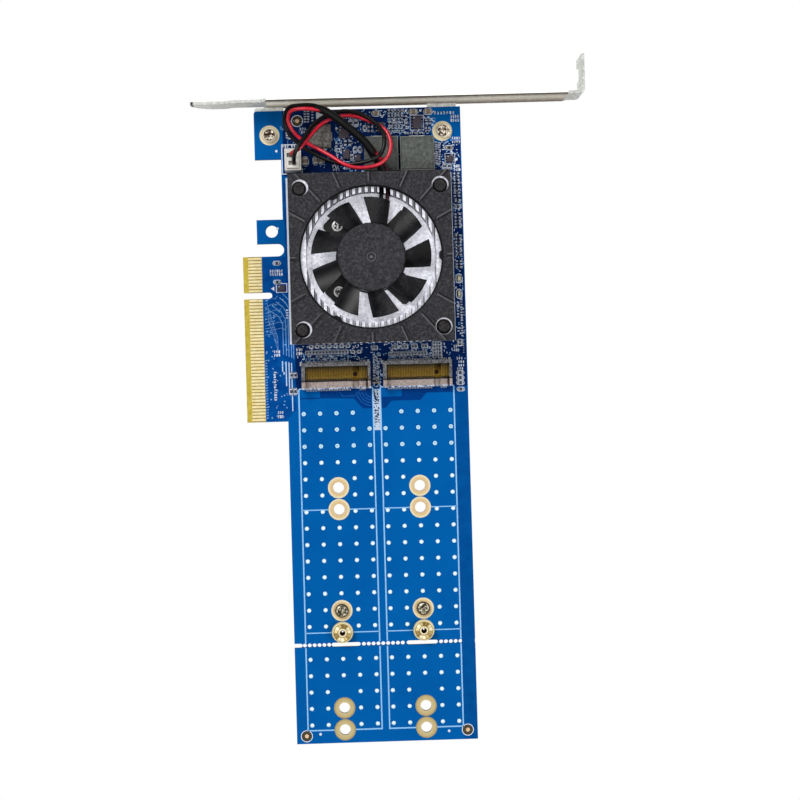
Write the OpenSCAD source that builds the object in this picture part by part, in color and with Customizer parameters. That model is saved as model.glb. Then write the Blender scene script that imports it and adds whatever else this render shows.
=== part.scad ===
// Adapter card that carries two M.2 storage modules on a break-off board, with a
// fan-cooled switch chip. The card lies flat with its component side up (+Z).
// +X runs from the edge contacts to the far long edge, +Y towards the bracket.

/* [Board] */
// Board thickness
board_t = 1.57; // [1.4:0.01:1.7]
// Height of the board's underside above the bracket's lower edge
board_z = 2.6; // [2.5:0.1:3]
// Long edge away from the edge contacts
board_right = 22.8; // [22.5:0.1:24]
// Board end next to the bracket
board_top = 91.6; // [91:0.1:91.8]
// Board end away from the bracket
board_bottom = -105; // [-110:0.5:-104]
// Pitch of the cooling-hole grid under the modules
hole_pitch = 5.08; // [5.08:0.01:5.1]
// Diameter of the cooling holes
hole_d = 1.1; // [0.8:0.1:1.4]

/* [Edge contacts] */
// Outer edge of the contact tongue
tongue_x = -46; // [-46.5:0.1:-45.5]
// Middle of the key notch
key_y = 34.25; // [34:0.05:34.5]
// Contact pitch
contact_pitch = 1; // [0.9:0.05:1]
// Contact width
contact_w = 0.7; // [0.5:0.05:0.8]
// Contact length
contact_l = 4.2; // [3.5:0.1:4.4]

/* [Module sockets] */
// Middle line of the left module
left_module_x = -18.3; // [-18.5:0.1:-18.1]
// Middle line of the right module
right_module_x = 6.95; // [6.8:0.05:7.1]
// Socket width
socket_w = 21.35; // [21:0.05:21.6]
// Socket depth, front to back
socket_d = 8.3; // [8:0.1:8.6]
// Socket height above the board
socket_h = 4.2; // [4:0.1:4.8]
// Diameter of the module fastening pads
pad_d = 6.6; // [6:0.1:6.6]
// Diameter of the module fastening holes
pad_hole_d = 3.3; // [3.2:0.1:3.5]

/* [Cooler] */
// Heatsink and cover width, across the card
cooler_w = 50; // [49:0.5:51]
// Heatsink and cover length, along the card
cooler_l = 52.2; // [51.5:0.1:52.4]
// Heatsink height
heatsink_h = 8.5; // [8:0.1:9]
// Thickness of the heatsink's floor
heatsink_floor = 2.5; // [2.3:0.1:2.7]
// Pitch of the fins
fin_pitch = 1.93; // [1.85:0.01:1.97]
// Width of the air channels between the fins
fin_gap = 1; // [0.8:0.05:1.1]
// Radius of the round pocket that the fan sits in
pocket_r = 20; // [19.4:0.1:20.2]
// Radius of the opening in the cover
opening_r = 21.6; // [21:0.1:21.8]
// Thickness of the cover
cover_t = 1.5; // [1.3:0.1:1.8]

/* [Fan] */
// Hub radius
hub_r = 10.5; // [10.4:0.1:10.7]
// Radius at the blade tips
blade_tip_r = 18.5; // [17.5:0.1:18.7]
// Number of blades
blades = 9; // [7:1:9]

/* [Bracket] */
// Sheet thickness
sheet_t = 0.86; // [0.8:0.01:1]
// Bracket width
bracket_w = 18.42; // [18:0.01:18.5]
// Bracket length over the flange
bracket_l = 121; // [120:0.5:122]
// Distance from the board end to the bracket
bracket_gap = 1.3; // [1.2:0.1:1.5]

/* [Hidden] */
$fn = 48;
eps = 0.01;

board_top_z = board_z + board_t;
copper_t = 0.05;
pad_z = board_top_z + copper_t;

// Outline stations along the contact side
tab_x = -41.45;
neck_x = -33.3;
tab_low_y = 76.5;
ear_low_y = 50.3;
ear_high_y = 57.8;
tongue_high_y = 46.4;
tongue_low_y = -5;
key_w = 1.95;
key_end_x = -37.2;
bevel_w = 1.6;
bevel_h = 0.55;

// Cooling-hole grid: five columns under each module, twenty rows
grid_top_y = -2.8;
grid_rows = 20;
break_row = 14;

// Module fastening rows: the far hole of each pair is the standard position
far_rows_y = [-32.7, -70.8, -100.95];
near_offset_y = 6.75;
fastened_row_y = -70.8;
module_xs = [left_module_x, right_module_x];

// Break-off line
break_y = -74.6;
break_w = 1.3;
break_hole_d = 1.25;
break_slots = [[-21.8, -12.8], [1.5, 11.2]];
break_hole_runs = [[-30.1, 6], [-11.8, 9], [12.2, 6]];
break_hole_pitch = 1.51;

// Bracket screws
screw_y = 84.05;
screw_xs = [-36.7, 17.05];
screw_pad_d = 6.2;
screw_hole_d = 3.8;
// The right-hand screw sits a little off the middle of its pad
screw_shift = [0, 0.6];
screw_head_d = 4.4;
ear_hole = [-36.8, 54.15];

// Cooler stack
fan_x = -6.2;
fan_y = 44.8;
chip_w = 25;
chip_h = 1.2;
thermal_t = 0.3;
heatsink_z = board_top_z + chip_h + thermal_t;
floor_z = heatsink_z + heatsink_floor;
heatsink_top = heatsink_z + heatsink_h;
cover_top = heatsink_top + cover_t;
skirt_t = 0.6;
pin_offset = 21.65;
pin_head_d = 4.2;
pin_shaft_d = 2.4;
pin_well_d = 4.7;
// The cover's holes over the pins sit a little off the pins
cover_hole_d = 5.2;
cover_hole_dx = pin_offset - 0.15;
cover_hole_dy = pin_offset + 0.1;
cover_hole_shift = [0.2, -0.03];
cover_chamfer = 0.5;
pin_well_floor = heatsink_top - 4;
fin_band = 19.4;
outer_channel_l = 33;
// One slot through the fins for each wire of the fan lead
lead_slot_xs = [-2.5, -0.5];
lead_slot_w = 1.5;

// Fan stack
ear_t = 0.8;
ear_w = 7.2;
ear_reach = 17.7;
ear_screw_r = 14.4;
base_r = 10.9;
base_t = 1;
tube_top = heatsink_top - 0.5;
hub_top = cover_top - 0.3;
hub_t = 1.1;
shaft_cap = 0.5;
shaft_r = 0.75;
bearing_r = 2;
tube_r = 2.6;
core_z = floor_z + 2.2;
core_h = 2.4;
coil_lift = 0.4;

// Bracket stations
bracket_y = board_top + bracket_gap;
flange_tip_y = 105;
half_l = bracket_l / 2;

// Fan header and lead
plug_x = -29.5;
plug_y = 75.65;
plug_top = 12.5;
wire_d = 1.3;
sleeve_d = 2.5;
// Lead from the plug to the sleeve: x, y, z of its middle, the direction in which
// the black wire lies beside it (0 left, 90 above, 180 right, 270 below), and how
// far each wire's centre lies from that middle
lead_route = [
  [-27.1, 79.1, 16, 62, 0.75],
  [-25, 82, 14.4, 48, 0.75],
  [-23, 84.7, 12.3, 25, 0.75],
  [-20.5, 87.2, 10.5, 15, 0.75],
  [-17.2, 88.9, 9.5, 12, 0.75],
  [-13.5, 89.7, 9.2, 32, 0.75],
  [-9.8, 89.3, 9.4, 45, 0.75],
  [-6.5, 87.9, 9.8, 62, 0.75],
  [-3.4, 86, 10.3, 95, 0.75],
  [-0.9, 83.3, 10.8, 140, 0.8],
  [-0.2, 79.7, 11.5, 175, 1],
  [-1.1, 76.5, 12.1, 180, 1.15],
  [-3.3, 74.4, 12.6, 180, 1.1],
  [-6.6, 73.4, 12.5, 186, 0.9],
  [-10.3, 73.2, 12.2, 214, 0.8],
  [-14.1, 73.9, 11.5, 270, 0.8],
  [-17.5, 75.5, 10.6, 326, 0.8],
  [-20.9, 77.4, 9.7, 352, 0.9],
  [-24.2, 79.3, 9.2, 360, 0.9],
  [-27.4, 81.5, 9.3, 350, 0.8],
  [-29.9, 84.3, 9.9, 328, 0.8],
  [-31.2, 87.7, 11.4, 320, 0.8],
  [-29.9, 90.8, 13.5, 326, 0.8],
  [-26.1, 91.3, 14.8, 322, 0.75],
  [-22.2, 91, 14.9, 326, 0.75]
];
sleeve_route = [
  [-22.4, 91, 14.9],
  [-19.4, 90.1, 14.4],
  [-16.4, 88.3, 13.4],
  [-13.4, 86, 12.4],
  [-10.4, 83.6, 11.5],
  [-7.3, 80.7, 10.6],
  [-4.5, 76.9, 9.8]
];
black_tail = [
  [-5.1, 76.3, 9.7],
  [-3.4, 73.6, 9.9],
  [-2.5, 71, 9.8],
  [-2.45, 66.3, 9.3],
  [-2.8, 61.2, 8.9],
  [-3.4, 55.5, 8.9]
];
red_tail = [
  [-3.9, 77.2, 9.7],
  [-2, 74.6, 9.9],
  [-0.6, 71.8, 9.8],
  [-0.4, 67, 9.3],
  [-0.9, 61.4, 8.9],
  [-1.8, 54.8, 8.9]
];
black_pin = [-29.15, 74.5];
red_pin = [-29.9, 76.9];
plug_slots = [[-29.6, 74.5], [-30.1, 76.9]];
// Where each wire climbs out of the plug
black_rise = [
  [-29.15, 74.5, 11.9],
  [-29.15, 74.5, 13.3],
  [-29.05, 75.5, 15.2],
  [-28.7, 77, 16.6]
];
red_rise = [
  [-29.9, 76.9, 11.9],
  [-29.9, 76.9, 13.2],
  [-29.4, 77.4, 14.5]
];

// ---------------------------------------------------------------- helpers

function unit(v) = v / norm(v);
function clamp_i(i, n) = max(0, min(n - 1, i));

// Direction of travel at each point of a path
function headings(p) = [
  for (i = [0 : len(p) - 1]) unit(p[clamp_i(i + 1, len(p))] - p[clamp_i(i - 1, len(p))])
];

// Side vectors carried along a path without spin
function carried(t, side, i = 0) =
  i == len(t) ? [] : let(s = unit(side - (side * t[i]) * t[i])) concat([s], carried(t, s, i + 1));

// Tube of a given radius swept along a path of points
module tube(path, r, sides = 8) {
  t = headings(path);
  start = abs(t[0].z) > 0.9 ? [1, 0, 0] : [0, 0, 1];
  side = carried(t, start);
  n = len(path);
  points = [
    for (i = [0 : n - 1])
      for (k = [0 : sides - 1])
        let(a = 360 * k / sides, up = cross(t[i], side[i]))
          path[i] + r * (cos(a) * side[i] + sin(a) * up)
  ];
  walls = [
    for (i = [0 : n - 2])
      for (k = [0 : sides - 1])
        let(a = i * sides + k, b = i * sides + (k + 1) % sides)
          [a, a + sides, b + sides, b]
  ];
  first_cap = [for (k = [0 : sides - 1]) k];
  last_cap = [for (k = [sides - 1 : -1 : 0]) (n - 1) * sides + k];
  polyhedron(concat(points), concat([first_cap], walls, [last_cap]), convexity = 6);
}

// One wire of the pair: side is 1 for black, -1 for red
function pair_wire(route, side) = [
  for (i = [0 : len(route) - 1])
    let(
      a = route[clamp_i(i - 1, len(route))],
      b = route[clamp_i(i + 1, len(route))],
      left = unit([a.y - b.y, b.x - a.x, 0]),
      turn = route[i][3],
      gap = route[i][4]
    )
    [route[i].x, route[i].y, route[i].z]
      + side * gap * (cos(turn) * left + sin(turn) * [0, 0, 1])
];

module at_pins() {
  translate([fan_x, fan_y - 0.25, 0]) at_corners(pin_offset, pin_offset) children();
}

module at_corners(dx, dy) {
  for (sx = [-1, 1])
    for (sy = [-1, 1])
      translate([sx * dx, sy * dy, 0]) children();
}

module box(x0, x1, y0, y1, z0, z1) {
  translate([x0, y0, z0]) cube([x1 - x0, y1 - y0, z1 - z0]);
}

module ring(r_out, r_in, h) {
  difference() {
    cylinder(r = r_out, h = h);
    translate([0, 0, -1]) cylinder(r = r_in, h = h + 2);
  }
}

// Flat band of width t along a path in the plane
function band_normal(p, i) =
  let(d = p[clamp_i(i + 1, len(p))] - p[clamp_i(i - 1, len(p))]) unit([-d.y, d.x]);
function band(p, t) = concat(
  [for (i = [0 : len(p) - 1]) p[i] + band_normal(p, i) * t / 2],
  [for (i = [len(p) - 1 : -1 : 0]) p[i] - band_normal(p, i) * t / 2]
);

// Pan head with a cross recess, standing on z = 0
module cross_head(d, h, recess_w, recess_l) {
  difference() {
    rotate_extrude() polygon([
      [0, 0], [d / 2, 0], [d / 2, h * 0.45], [d / 2 * 0.86, h * 0.8], [d / 2 * 0.6, h], [0, h]
    ]);
    for (a = [0, 90])
      rotate([0, 0, a])
        translate([-recess_l / 2, -recess_w / 2, h * 0.4]) cube([recess_l, recess_w, h]);
  }
}

// Every place on the board that takes a module fastening hole
function fastening_points() = [
  for (x = module_xs) for (y = far_rows_y) for (dy = [0, near_offset_y]) [x, y + dy]
];

// ---------------------------------------------------------------- board

function grid_x(c) = c < 5
  ? left_module_x + (c - 2) * hole_pitch
  : right_module_x + (c - 7) * hole_pitch;
function grid_y(r) = grid_top_y - r * hole_pitch;
function near_fastening(x, y) =
  min([for (p = fastening_points()) norm([x, y] - p)]) < 5.06;
function is_hole(c, r) =
  r != break_row && !(r == 0 && (c == 4 || c == 5)) && !near_fastening(grid_x(c), grid_y(r));

module round_slot(x0, x1, y, w) {
  translate([x0 + w / 2, y]) circle(d = w);
  translate([x1 - w / 2, y]) circle(d = w);
  translate([x0 + w / 2, y - w / 2]) square([x1 - x0 - w, w]);
}

module board_outline() {
  corner_r = 0.9;
  difference() {
    polygon([
      [neck_x, board_bottom], [board_right, board_bottom], [board_right, board_top],
      [tab_x, board_top], [tab_x, tab_low_y], [neck_x, tab_low_y], [neck_x, ear_high_y],
      [tab_x, ear_high_y], [tab_x, ear_low_y], [tongue_x, ear_low_y], [tongue_x, tongue_low_y],
      [neck_x, tongue_low_y]
    ]);
    // Slot between the mounting ear and the contact tongue, and the key notch
    slot_w = ear_low_y - tongue_high_y;
    round_slot(tongue_x - slot_w, neck_x + 0.15, tongue_high_y + slot_w / 2, slot_w);
    translate([tongue_x - 1, tongue_high_y]) square([4, slot_w + 1]);
    round_slot(tongue_x - key_w, key_end_x, key_y, key_w);
    // Rounded corner by the bracket
    translate([tab_x - eps, board_top + eps]) rotate([0, 0, 180]) mirror([1, 0]) difference() {
      square(corner_r);
      translate([corner_r, corner_r]) circle(r = corner_r);
    }
  }
}

module break_line_cuts() {
  for (s = break_slots) round_slot(s[0], s[1], break_y, break_w);
  for (run = break_hole_runs)
    for (i = [0 : run[1] - 1])
      translate([run[0] + i * break_hole_pitch, break_y]) circle(d = break_hole_d);
  round_slot(neck_x - break_w, -30.8, break_y, break_w);
  round_slot(20.6, board_right + break_w, break_y, break_w);
}

module board_holes() {
  for (r = [0 : grid_rows - 1])
    for (c = [0 : 9])
      if (is_hole(c, r)) translate([grid_x(c), grid_y(r)]) circle(d = hole_d, $fn = 24);
  for (p = fastening_points()) translate(p) circle(d = pad_hole_d);
  for (x = screw_xs) translate([x, screw_y]) circle(d = screw_hole_d);
  translate(ear_hole) circle(d = 3.8);
  at_pins() circle(d = 3);
  translate(black_pin) circle(d = 0.9, $fn = 24);
  translate(red_pin) circle(d = 0.9, $fn = 24);
}

module bevel_cut() {
  // Triangular prism along the contact edge; flipped for the other face
  rotate([90, 0, 0])
    linear_extrude(height = tongue_high_y - tongue_low_y + 2)
      polygon([[-1, -1], [bevel_w, 0], [bevel_w, -1]]);
}

module pcb() color([0.05, 0.33, 0.62]) {
  difference() {
    translate([0, 0, board_z]) linear_extrude(height = board_t) difference() {
      board_outline();
      break_line_cuts();
      board_holes();
    }
    for (face = [0, 1])
      translate([0, 0, face == 0 ? board_z : board_top_z])
        mirror([0, 0, face])
          translate([tongue_x, tongue_high_y + 1, 0])
            rotate([90, 0, 0])
              linear_extrude(height = tongue_high_y - tongue_low_y + 2)
                polygon([[-1, -1], [-1, bevel_h], [0, bevel_h], [bevel_w, 0], [bevel_w, -1]]);
  }
}

module edge_contacts() color([0.93, 0.80, 0.45]) {
  first_upper = key_y + 1.5 * contact_pitch;
  first_lower = key_y - 1.5 * contact_pitch;
  ys = concat(
    [for (i = [0 : 10]) first_upper + i * contact_pitch],
    [for (i = [0 : 37]) first_lower - i * contact_pitch]
  );
  for (z = [board_z - copper_t, board_top_z])
    for (y = ys)
      translate([tongue_x + bevel_w, y - contact_w / 2, z]) cube([contact_l, contact_w, copper_t]);
}

module solder_pads() color([0.83, 0.72, 0.42]) {
  for (z = [board_z - copper_t, board_top_z]) {
    for (p = fastening_points())
      translate([p.x, p.y, z]) ring(pad_d / 2, pad_hole_d / 2, copper_t);
    for (x = screw_xs)
      translate([x, screw_y, z]) ring(screw_pad_d / 2, screw_hole_d / 2, copper_t);
  }
}

// ---------------------------------------------------------------- bracket

// Side view of the sheet: tongue tip, joggle, straight plate, bend and flange
function sheet_path() = let(
    y = bracket_y + sheet_t / 2,
    bend_r = 1.2,
    x_end = half_l - sheet_t / 2
  ) concat(
    [[-half_l, y + 0.25], [-58.6, y - 0.05], [-56, y - 0.25], [-50.5, y - 0.3], [-47.5, y]],
    [[-40, y]],
    [for (a = [-90 : 15 : 0]) [x_end - bend_r + bend_r * cos(a), y + bend_r + bend_r * sin(a)]],
    [[x_end, flange_tip_y]]
  );

// Face view of the plate and tongue in X and Z
module plate_face() {
  tongue_low = 4.1;
  tongue_high = 15.6;
  tip_low = 6.4;
  tip_high = 13.2;
  polygon([
    [-37, 0], [54.8, 0], [56.2, 2.6], [half_l + 1, 2.6], [half_l + 1, bracket_w],
    [-37, bracket_w], [-38.5, tongue_high], [-54, tongue_high], [-59.6, tip_high],
    [-half_l, tip_high - 1.6], [-half_l, tip_low + 1.6], [-59.6, tip_low],
    [-54, tongue_low], [-38.5, tongue_low]
  ]);
}

module screw_tab(x, shift) {
  tab_w = 9;
  tab_end = screw_y - 4.6;
  difference() {
    box(x - tab_w / 2, x + tab_w / 2, tab_end, bracket_y + eps, board_z - copper_t - sheet_t,
      board_z - copper_t);
    translate([x + shift, screw_y, -1]) cylinder(d = 2.5, h = board_z + 1);
  }
}

module bracket() color([0.72, 0.72, 0.70]) {
  difference() {
    intersection() {
      linear_extrude(height = bracket_w) polygon(band(sheet_path(), sheet_t));
      translate([0, flange_tip_y + 1, 0]) rotate([90, 0, 0]) linear_extrude(height = 20)
        plate_face();
    }
    // Open notch in the flange for the chassis screw
    translate([half_l - 4, 100.2, 6.2]) rotate([0, 90, 0]) cylinder(d = 4.4, h = 8);
    box(half_l - 4, half_l + 4, 98, 102.4, -1, 6.2);
  }
  for (i = [0, 1]) screw_tab(screw_xs[i], screw_shift[i]);
}

module bracket_screws() color([0.80, 0.72, 0.52]) {
  for (i = [0, 1]) translate([screw_xs[i] + screw_shift[i], screw_y, pad_z]) {
    cross_head(screw_head_d, 1.9, 1, 3.2);
    translate([0, 0, -pad_z + 0.3]) cylinder(d = 2.5, h = pad_z - 0.3);
  }
}

// ---------------------------------------------------------------- cooler

module at_fan() {
  translate([fan_x, fan_y, 0]) children();
}

module switch_chip() color([0.12, 0.12, 0.13]) {
  at_fan() translate([0, 0, board_top_z]) {
    translate([-chip_w / 2, -chip_w / 2, 0]) cube([chip_w, chip_w, 0.4]);
    translate([-chip_w / 2 + 1, -chip_w / 2 + 1, 0.4]) cube([chip_w - 2, chip_w - 2, chip_h - 0.4]);
  }
}

module thermal_pad() color([0.75, 0.55, 0.60]) {
  at_fan() translate([-chip_w / 2 + 1.5, -chip_w / 2 + 1.5, board_top_z + chip_h])
    cube([chip_w - 3, chip_w - 3, thermal_t]);
}

module fan_screw_places() {
  for (a = [45 : 90 : 315])
    rotate([0, 0, a]) translate([ear_screw_r, 0, 0]) children();
}

module heatsink() color([0.82, 0.83, 0.84]) difference() {
  w = cooler_w - 2 * skirt_t;
  l = cooler_l;
  channels = floor(2 * fin_band / fin_pitch) + 1;
  first = -(channels - 1) / 2 * fin_pitch;
  at_fan() difference() {
    translate([-w / 2, -l / 2, heatsink_z]) cube([w, l, heatsink_h]);
    for (i = [0 : channels - 1])
      let(cut = i == 0 || i == channels - 1 ? outer_channel_l : l + 2)
        translate([first + i * fin_pitch - fin_gap / 2, -cut / 2, floor_z])
          cube([fin_gap, cut, heatsink_h]);
    translate([0, 0, floor_z]) cylinder(r = pocket_r, h = heatsink_h, $fn = 96);
    // Way out for the fan lead
    for (x = lead_slot_xs)
      translate([x - fan_x - lead_slot_w / 2, pocket_r - 3, floor_z])
        cube([lead_slot_w, l / 2, heatsink_h]);
    fan_screw_places() translate([0, 0, floor_z - 1.9]) cylinder(d = 1.6, h = 3);
  }
  at_pins() {
    translate([0, 0, heatsink_z - 1]) cylinder(d = 3, h = heatsink_h + 2);
    translate([0, 0, pin_well_floor]) cylinder(d = pin_well_d, h = heatsink_h);
  }
}

module push_pins() color([0.07, 0.07, 0.08]) {
  head_z = heatsink_top + 0.6;
  at_pins() difference() {
    rotate_extrude() polygon([
      [0, 0.5], [0.9, 0.5], [1.75, board_z - copper_t], [1.35, board_z - copper_t],
      [1.35, board_top_z + 0.2], [pin_shaft_d / 2, board_top_z + 0.6],
      [pin_shaft_d / 2, head_z], [pin_head_d / 2, head_z], [pin_head_d / 2, cover_top - 0.3],
      [pin_head_d / 2 - 0.35, cover_top], [0, cover_top]
    ]);
    // Split that lets the barbed tip spring together
    translate([-0.25, -3, 0]) cube([0.5, 6, board_top_z - 0.4]);
  }
}

module push_pin_springs() color([0.80, 0.80, 0.82]) {
  wire = 0.2;
  coil_r = 1.75;
  low = pin_well_floor + wire;
  high = heatsink_top + 0.6 - wire;
  turns = 4;
  steps = 12;
  helix = [
    for (i = [0 : turns * steps])
      [coil_r * cos(360 * i / steps), coil_r * sin(360 * i / steps),
        low + (high - low) * i / (turns * steps)]
  ];
  at_pins() tube(helix, wire, 6);
}

module fan_cover() color([0.13, 0.13, 0.14]) {
  rib_angles = [0, 29, 48, 66, 90, 114, 132, 151];
  rib_w = 0.9;
  rib_h = 0.2;
  at_fan() {
    difference() {
      union() {
        translate([-cooler_w / 2, -cooler_l / 2, heatsink_top]) cube([cooler_w, cooler_l, cover_t]);
        for (s = [-1, 1])
          translate([s * (cooler_w - skirt_t) / 2 - skirt_t / 2, -cooler_l / 2, heatsink_top - 4])
            cube([skirt_t, cooler_l, 4 + eps]);
        intersection() {
          translate([-cooler_w / 2, -cooler_l / 2, cover_top]) cube([cooler_w, cooler_l, rib_h]);
          for (a = rib_angles)
            rotate([0, 0, a]) translate([-40, -rib_w / 2, cover_top - eps]) cube([80, rib_w, rib_h]);
        }
      }
      translate([0, 0, heatsink_top - 1]) cylinder(r = opening_r, h = cover_t + 3, $fn = 96);
      translate([0, 0, cover_top - cover_chamfer])
        cylinder(r1 = opening_r, r2 = opening_r + cover_chamfer + 0.4, h = cover_chamfer + 0.4,
          $fn = 96);
      translate(cover_hole_shift)
        at_corners(cover_hole_dx, cover_hole_dy)
          translate([0, 0, heatsink_top - 1]) cylinder(d = cover_hole_d, h = cover_t + 3);
    }
    // Three locating nubs on the rim of the opening
    for (a = [0, 120, 240])
      rotate([0, 0, a]) translate([opening_r, 0, heatsink_top])
        linear_extrude(height = cover_t - cover_chamfer)
          polygon([[0.4, -1.7], [0.4, 1.7], [0, 1.6], [-0.8, 0.8], [-0.8, -0.8], [0, -1.6]]);
  }
}

// ---------------------------------------------------------------- fan

module fan_base() color([0.09, 0.09, 0.10]) {
  at_fan() translate([0, 0, floor_z]) difference() {
    union() {
      cylinder(r = base_r, h = base_t);
      for (a = [45 : 90 : 315]) rotate([0, 0, a])
        linear_extrude(height = ear_t)
          polygon([
            [0, -ear_w / 2], [ear_reach - 0.8, -ear_w / 2], [ear_reach, -ear_w / 2 + 0.8],
            [ear_reach, ear_w / 2 - 0.8], [ear_reach - 0.8, ear_w / 2], [0, ear_w / 2]
          ]);
      cylinder(r = tube_r, h = tube_top - floor_z);
    }
    translate([0, 0, 0.6]) cylinder(r = bearing_r, h = heatsink_h);
    fan_screw_places() translate([0, 0, -1]) cylinder(d = 2, h = 3);
  }
}

module fan_base_screws() color([0.75, 0.76, 0.78]) {
  at_fan() fan_screw_places() translate([0, 0, floor_z + ear_t]) {
    cross_head(3.4, 0.6, 0.5, 2);
    translate([0, 0, -2.5]) cylinder(d = 1.6, h = 2.5);
  }
}

module fan_board() color([0.10, 0.35, 0.20]) {
  at_fan() translate([0, 0, floor_z + base_t]) ring(8, tube_r, 0.6);
}

module stator_core() color([0.45, 0.46, 0.48]) {
  shoe_r = 7.1;
  shoe_t = 1.3;
  arm_w = 1.8;
  at_fan() translate([0, 0, core_z]) linear_extrude(height = core_h) difference() {
    union() {
      circle(r = 3.7);
      for (a = [0, 90]) rotate([0, 0, a]) square([2 * shoe_r - 1, arm_w], center = true);
      difference() {
        circle(r = shoe_r);
        circle(r = shoe_r - shoe_t);
        for (a = [45, 135]) rotate([0, 0, a]) square([20, 1.8], center = true);
      }
    }
    circle(r = tube_r);
  }
}

module stator_coils() color([0.72, 0.42, 0.20]) {
  coil_in = 3.8;
  coil_out = 5.4;
  coil_w = 4.4;
  at_fan() for (a = [0 : 90 : 270]) rotate([0, 0, a])
    difference() {
      translate([coil_in, -coil_w / 2, core_z - coil_lift])
        cube([coil_out - coil_in, coil_w, core_h + 2 * coil_lift]);
      translate([coil_in - 1, -0.9, core_z]) cube([4, 1.8, core_h]);
      // Rounded outer corners of the winding
      for (s = [-1, 1])
        translate([coil_out, s * (coil_w / 2 + 0.6), core_z - 1]) cylinder(r = 1, h = core_h + 2);
    }
}

module fan_bearing() color([0.66, 0.52, 0.28]) {
  at_fan() translate([0, 0, floor_z + 0.6]) ring(bearing_r, shaft_r + 0.03, tube_top - floor_z - 1);
}

module blade() {
  // A cambered blade: a thin arc of a tube that lies along the radius, cut to the
  // blade's plan shape, which sweeps forward and widens towards the tip
  arc_r = 10;
  arc_y = 5;
  blade_t = 0.7;
  low = floor_z + 2;
  high = hub_top - 0.6;
  intersection() {
    translate([0, 0, low]) ring(blade_tip_r, hub_r - 0.3, high - low);
    translate([0, 0, low - 1]) linear_extrude(height = high - low + 2)
      polygon([[8, -3.7], [20, -3.1], [20, 6.1], [8, 0.5]]);
    translate([0, arc_y, high - arc_r - 0.1]) rotate([0, 90, 0]) difference() {
      cylinder(r = arc_r, h = 30, $fn = 96);
      translate([0, 0, -1]) cylinder(r = arc_r - blade_t, h = 32, $fn = 96);
    }
  }
}

module impeller() color([0.10, 0.10, 0.11]) {
  skirt_in = hub_r - 0.6;
  at_fan() {
    difference() {
      rotate_extrude($fn = 96) polygon([
        [shaft_r, hub_top - hub_t], [skirt_in, hub_top - hub_t], [skirt_in, floor_z + 1.8],
        [hub_r, floor_z + 1.8], [hub_r, hub_top - 0.35], [hub_r - 0.35, hub_top],
        [1.3, hub_top], [1.2, hub_top - 0.2], [0, hub_top - 0.2], [0, hub_top - shaft_cap],
        [shaft_r, hub_top - shaft_cap]
      ]);
      // Small moulding mark on the hub
      translate([3.4, -7.6, hub_top - 0.15]) cylinder(r = 0.7, h = 1);
    }
    for (i = [0 : blades - 1]) rotate([0, 0, i * 360 / blades]) blade();
  }
}

module fan_shaft() color([0.78, 0.79, 0.80]) {
  at_fan() translate([0, 0, floor_z + 1]) 
    cylinder(r = shaft_r, h = hub_top - shaft_cap - floor_z - 1);
}

module rotor_yoke() color([0.55, 0.56, 0.58]) {
  at_fan() translate([0, 0, floor_z + 2]) ring(hub_r - 0.6, hub_r - 1.1, hub_top - hub_t - floor_z - 2);
}

module rotor_magnet() color([0.22, 0.21, 0.20]) {
  at_fan() translate([0, 0, floor_z + 2.1]) ring(hub_r - 1.1, 7.5, hub_top - hub_t - floor_z - 2.3);
}

// ---------------------------------------------------------------- module sockets

socket_left_x = -10.45;
socket_front_y = 4.65;
window_x0 = -9.3;
window_x1 = 10.05;
window_y0 = 7.5;
window_y1 = 11.75;
key_x0 = 5.3;
key_x1 = 7.25;
lip_h = 1.9;
slot_z = 1.9;

module socket(module_x) color([0.62, 0.59, 0.54]) {
  translate([module_x, 0, board_top_z]) difference() {
    box(socket_left_x, socket_left_x + socket_w, socket_front_y, socket_front_y + socket_d, 0,
      socket_h);
    // Window over the contacts, and the open mouth above the front lip
    box(window_x0, window_x1, window_y0, window_y1, 0.8, socket_h + 1);
    box(window_x0, window_x1, socket_front_y - 1, window_y0 + eps, lip_h, socket_h + 1);
    // Lip is cut short at the key and at its right end
    box(key_x0, key_x1, socket_front_y - 1, window_y0 + eps, 0.8, lip_h + 1);
    box(window_x1 - 0.6, window_x1, socket_front_y - 1, window_y0 + eps, 0.8, lip_h + 1);
    // Slots for the contact tails along the back
    for (i = [0 : 35])
      if (window_x0 + 0.6 + i * 0.5 < key_x0 - 0.3 || window_x0 + 0.6 + i * 0.5 > key_x1 + 0.3)
        translate([window_x0 + 0.5 + i * 0.5, socket_front_y + socket_d - 0.35, -1])
          cube([0.25, 1, 2]);
  }
}

module socket_left() {
  socket(left_module_x);
}

module socket_right() {
  socket(right_module_x);
}

module socket_contacts(module_x) color([0.60, 0.46, 0.16]) {
  // Spring arms bend down from the back wall towards the front lip
  arm_w = 0.26;
  for (i = [0 : 37])
    let(x = window_x0 + 0.35 + i * 0.5)
      if (x < key_x0 - 0.2 || x > key_x1)
        translate([module_x + x + arm_w, 0, board_top_z]) rotate([0, -90, 0])
          linear_extrude(height = arm_w)
            polygon([
              [0.8, window_y0 + 0.3], [1, window_y0 + 0.3], [1, window_y1 - 1.1],
              [2.9, window_y1 - 0.9], [2.5, window_y0 + 1], [2.75, window_y0 + 0.2],
              [2.95, window_y0 + 0.3], [2.75, window_y0 + 1.05], [3.2, window_y1],
              [2.6, window_y1], [0.8, window_y1 - 0.8]
            ]);
}

module socket_contacts_left() {
  socket_contacts(left_module_x);
}

module socket_contacts_right() {
  socket_contacts(right_module_x);
}

// ---------------------------------------------------------------- module fasteners

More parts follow.
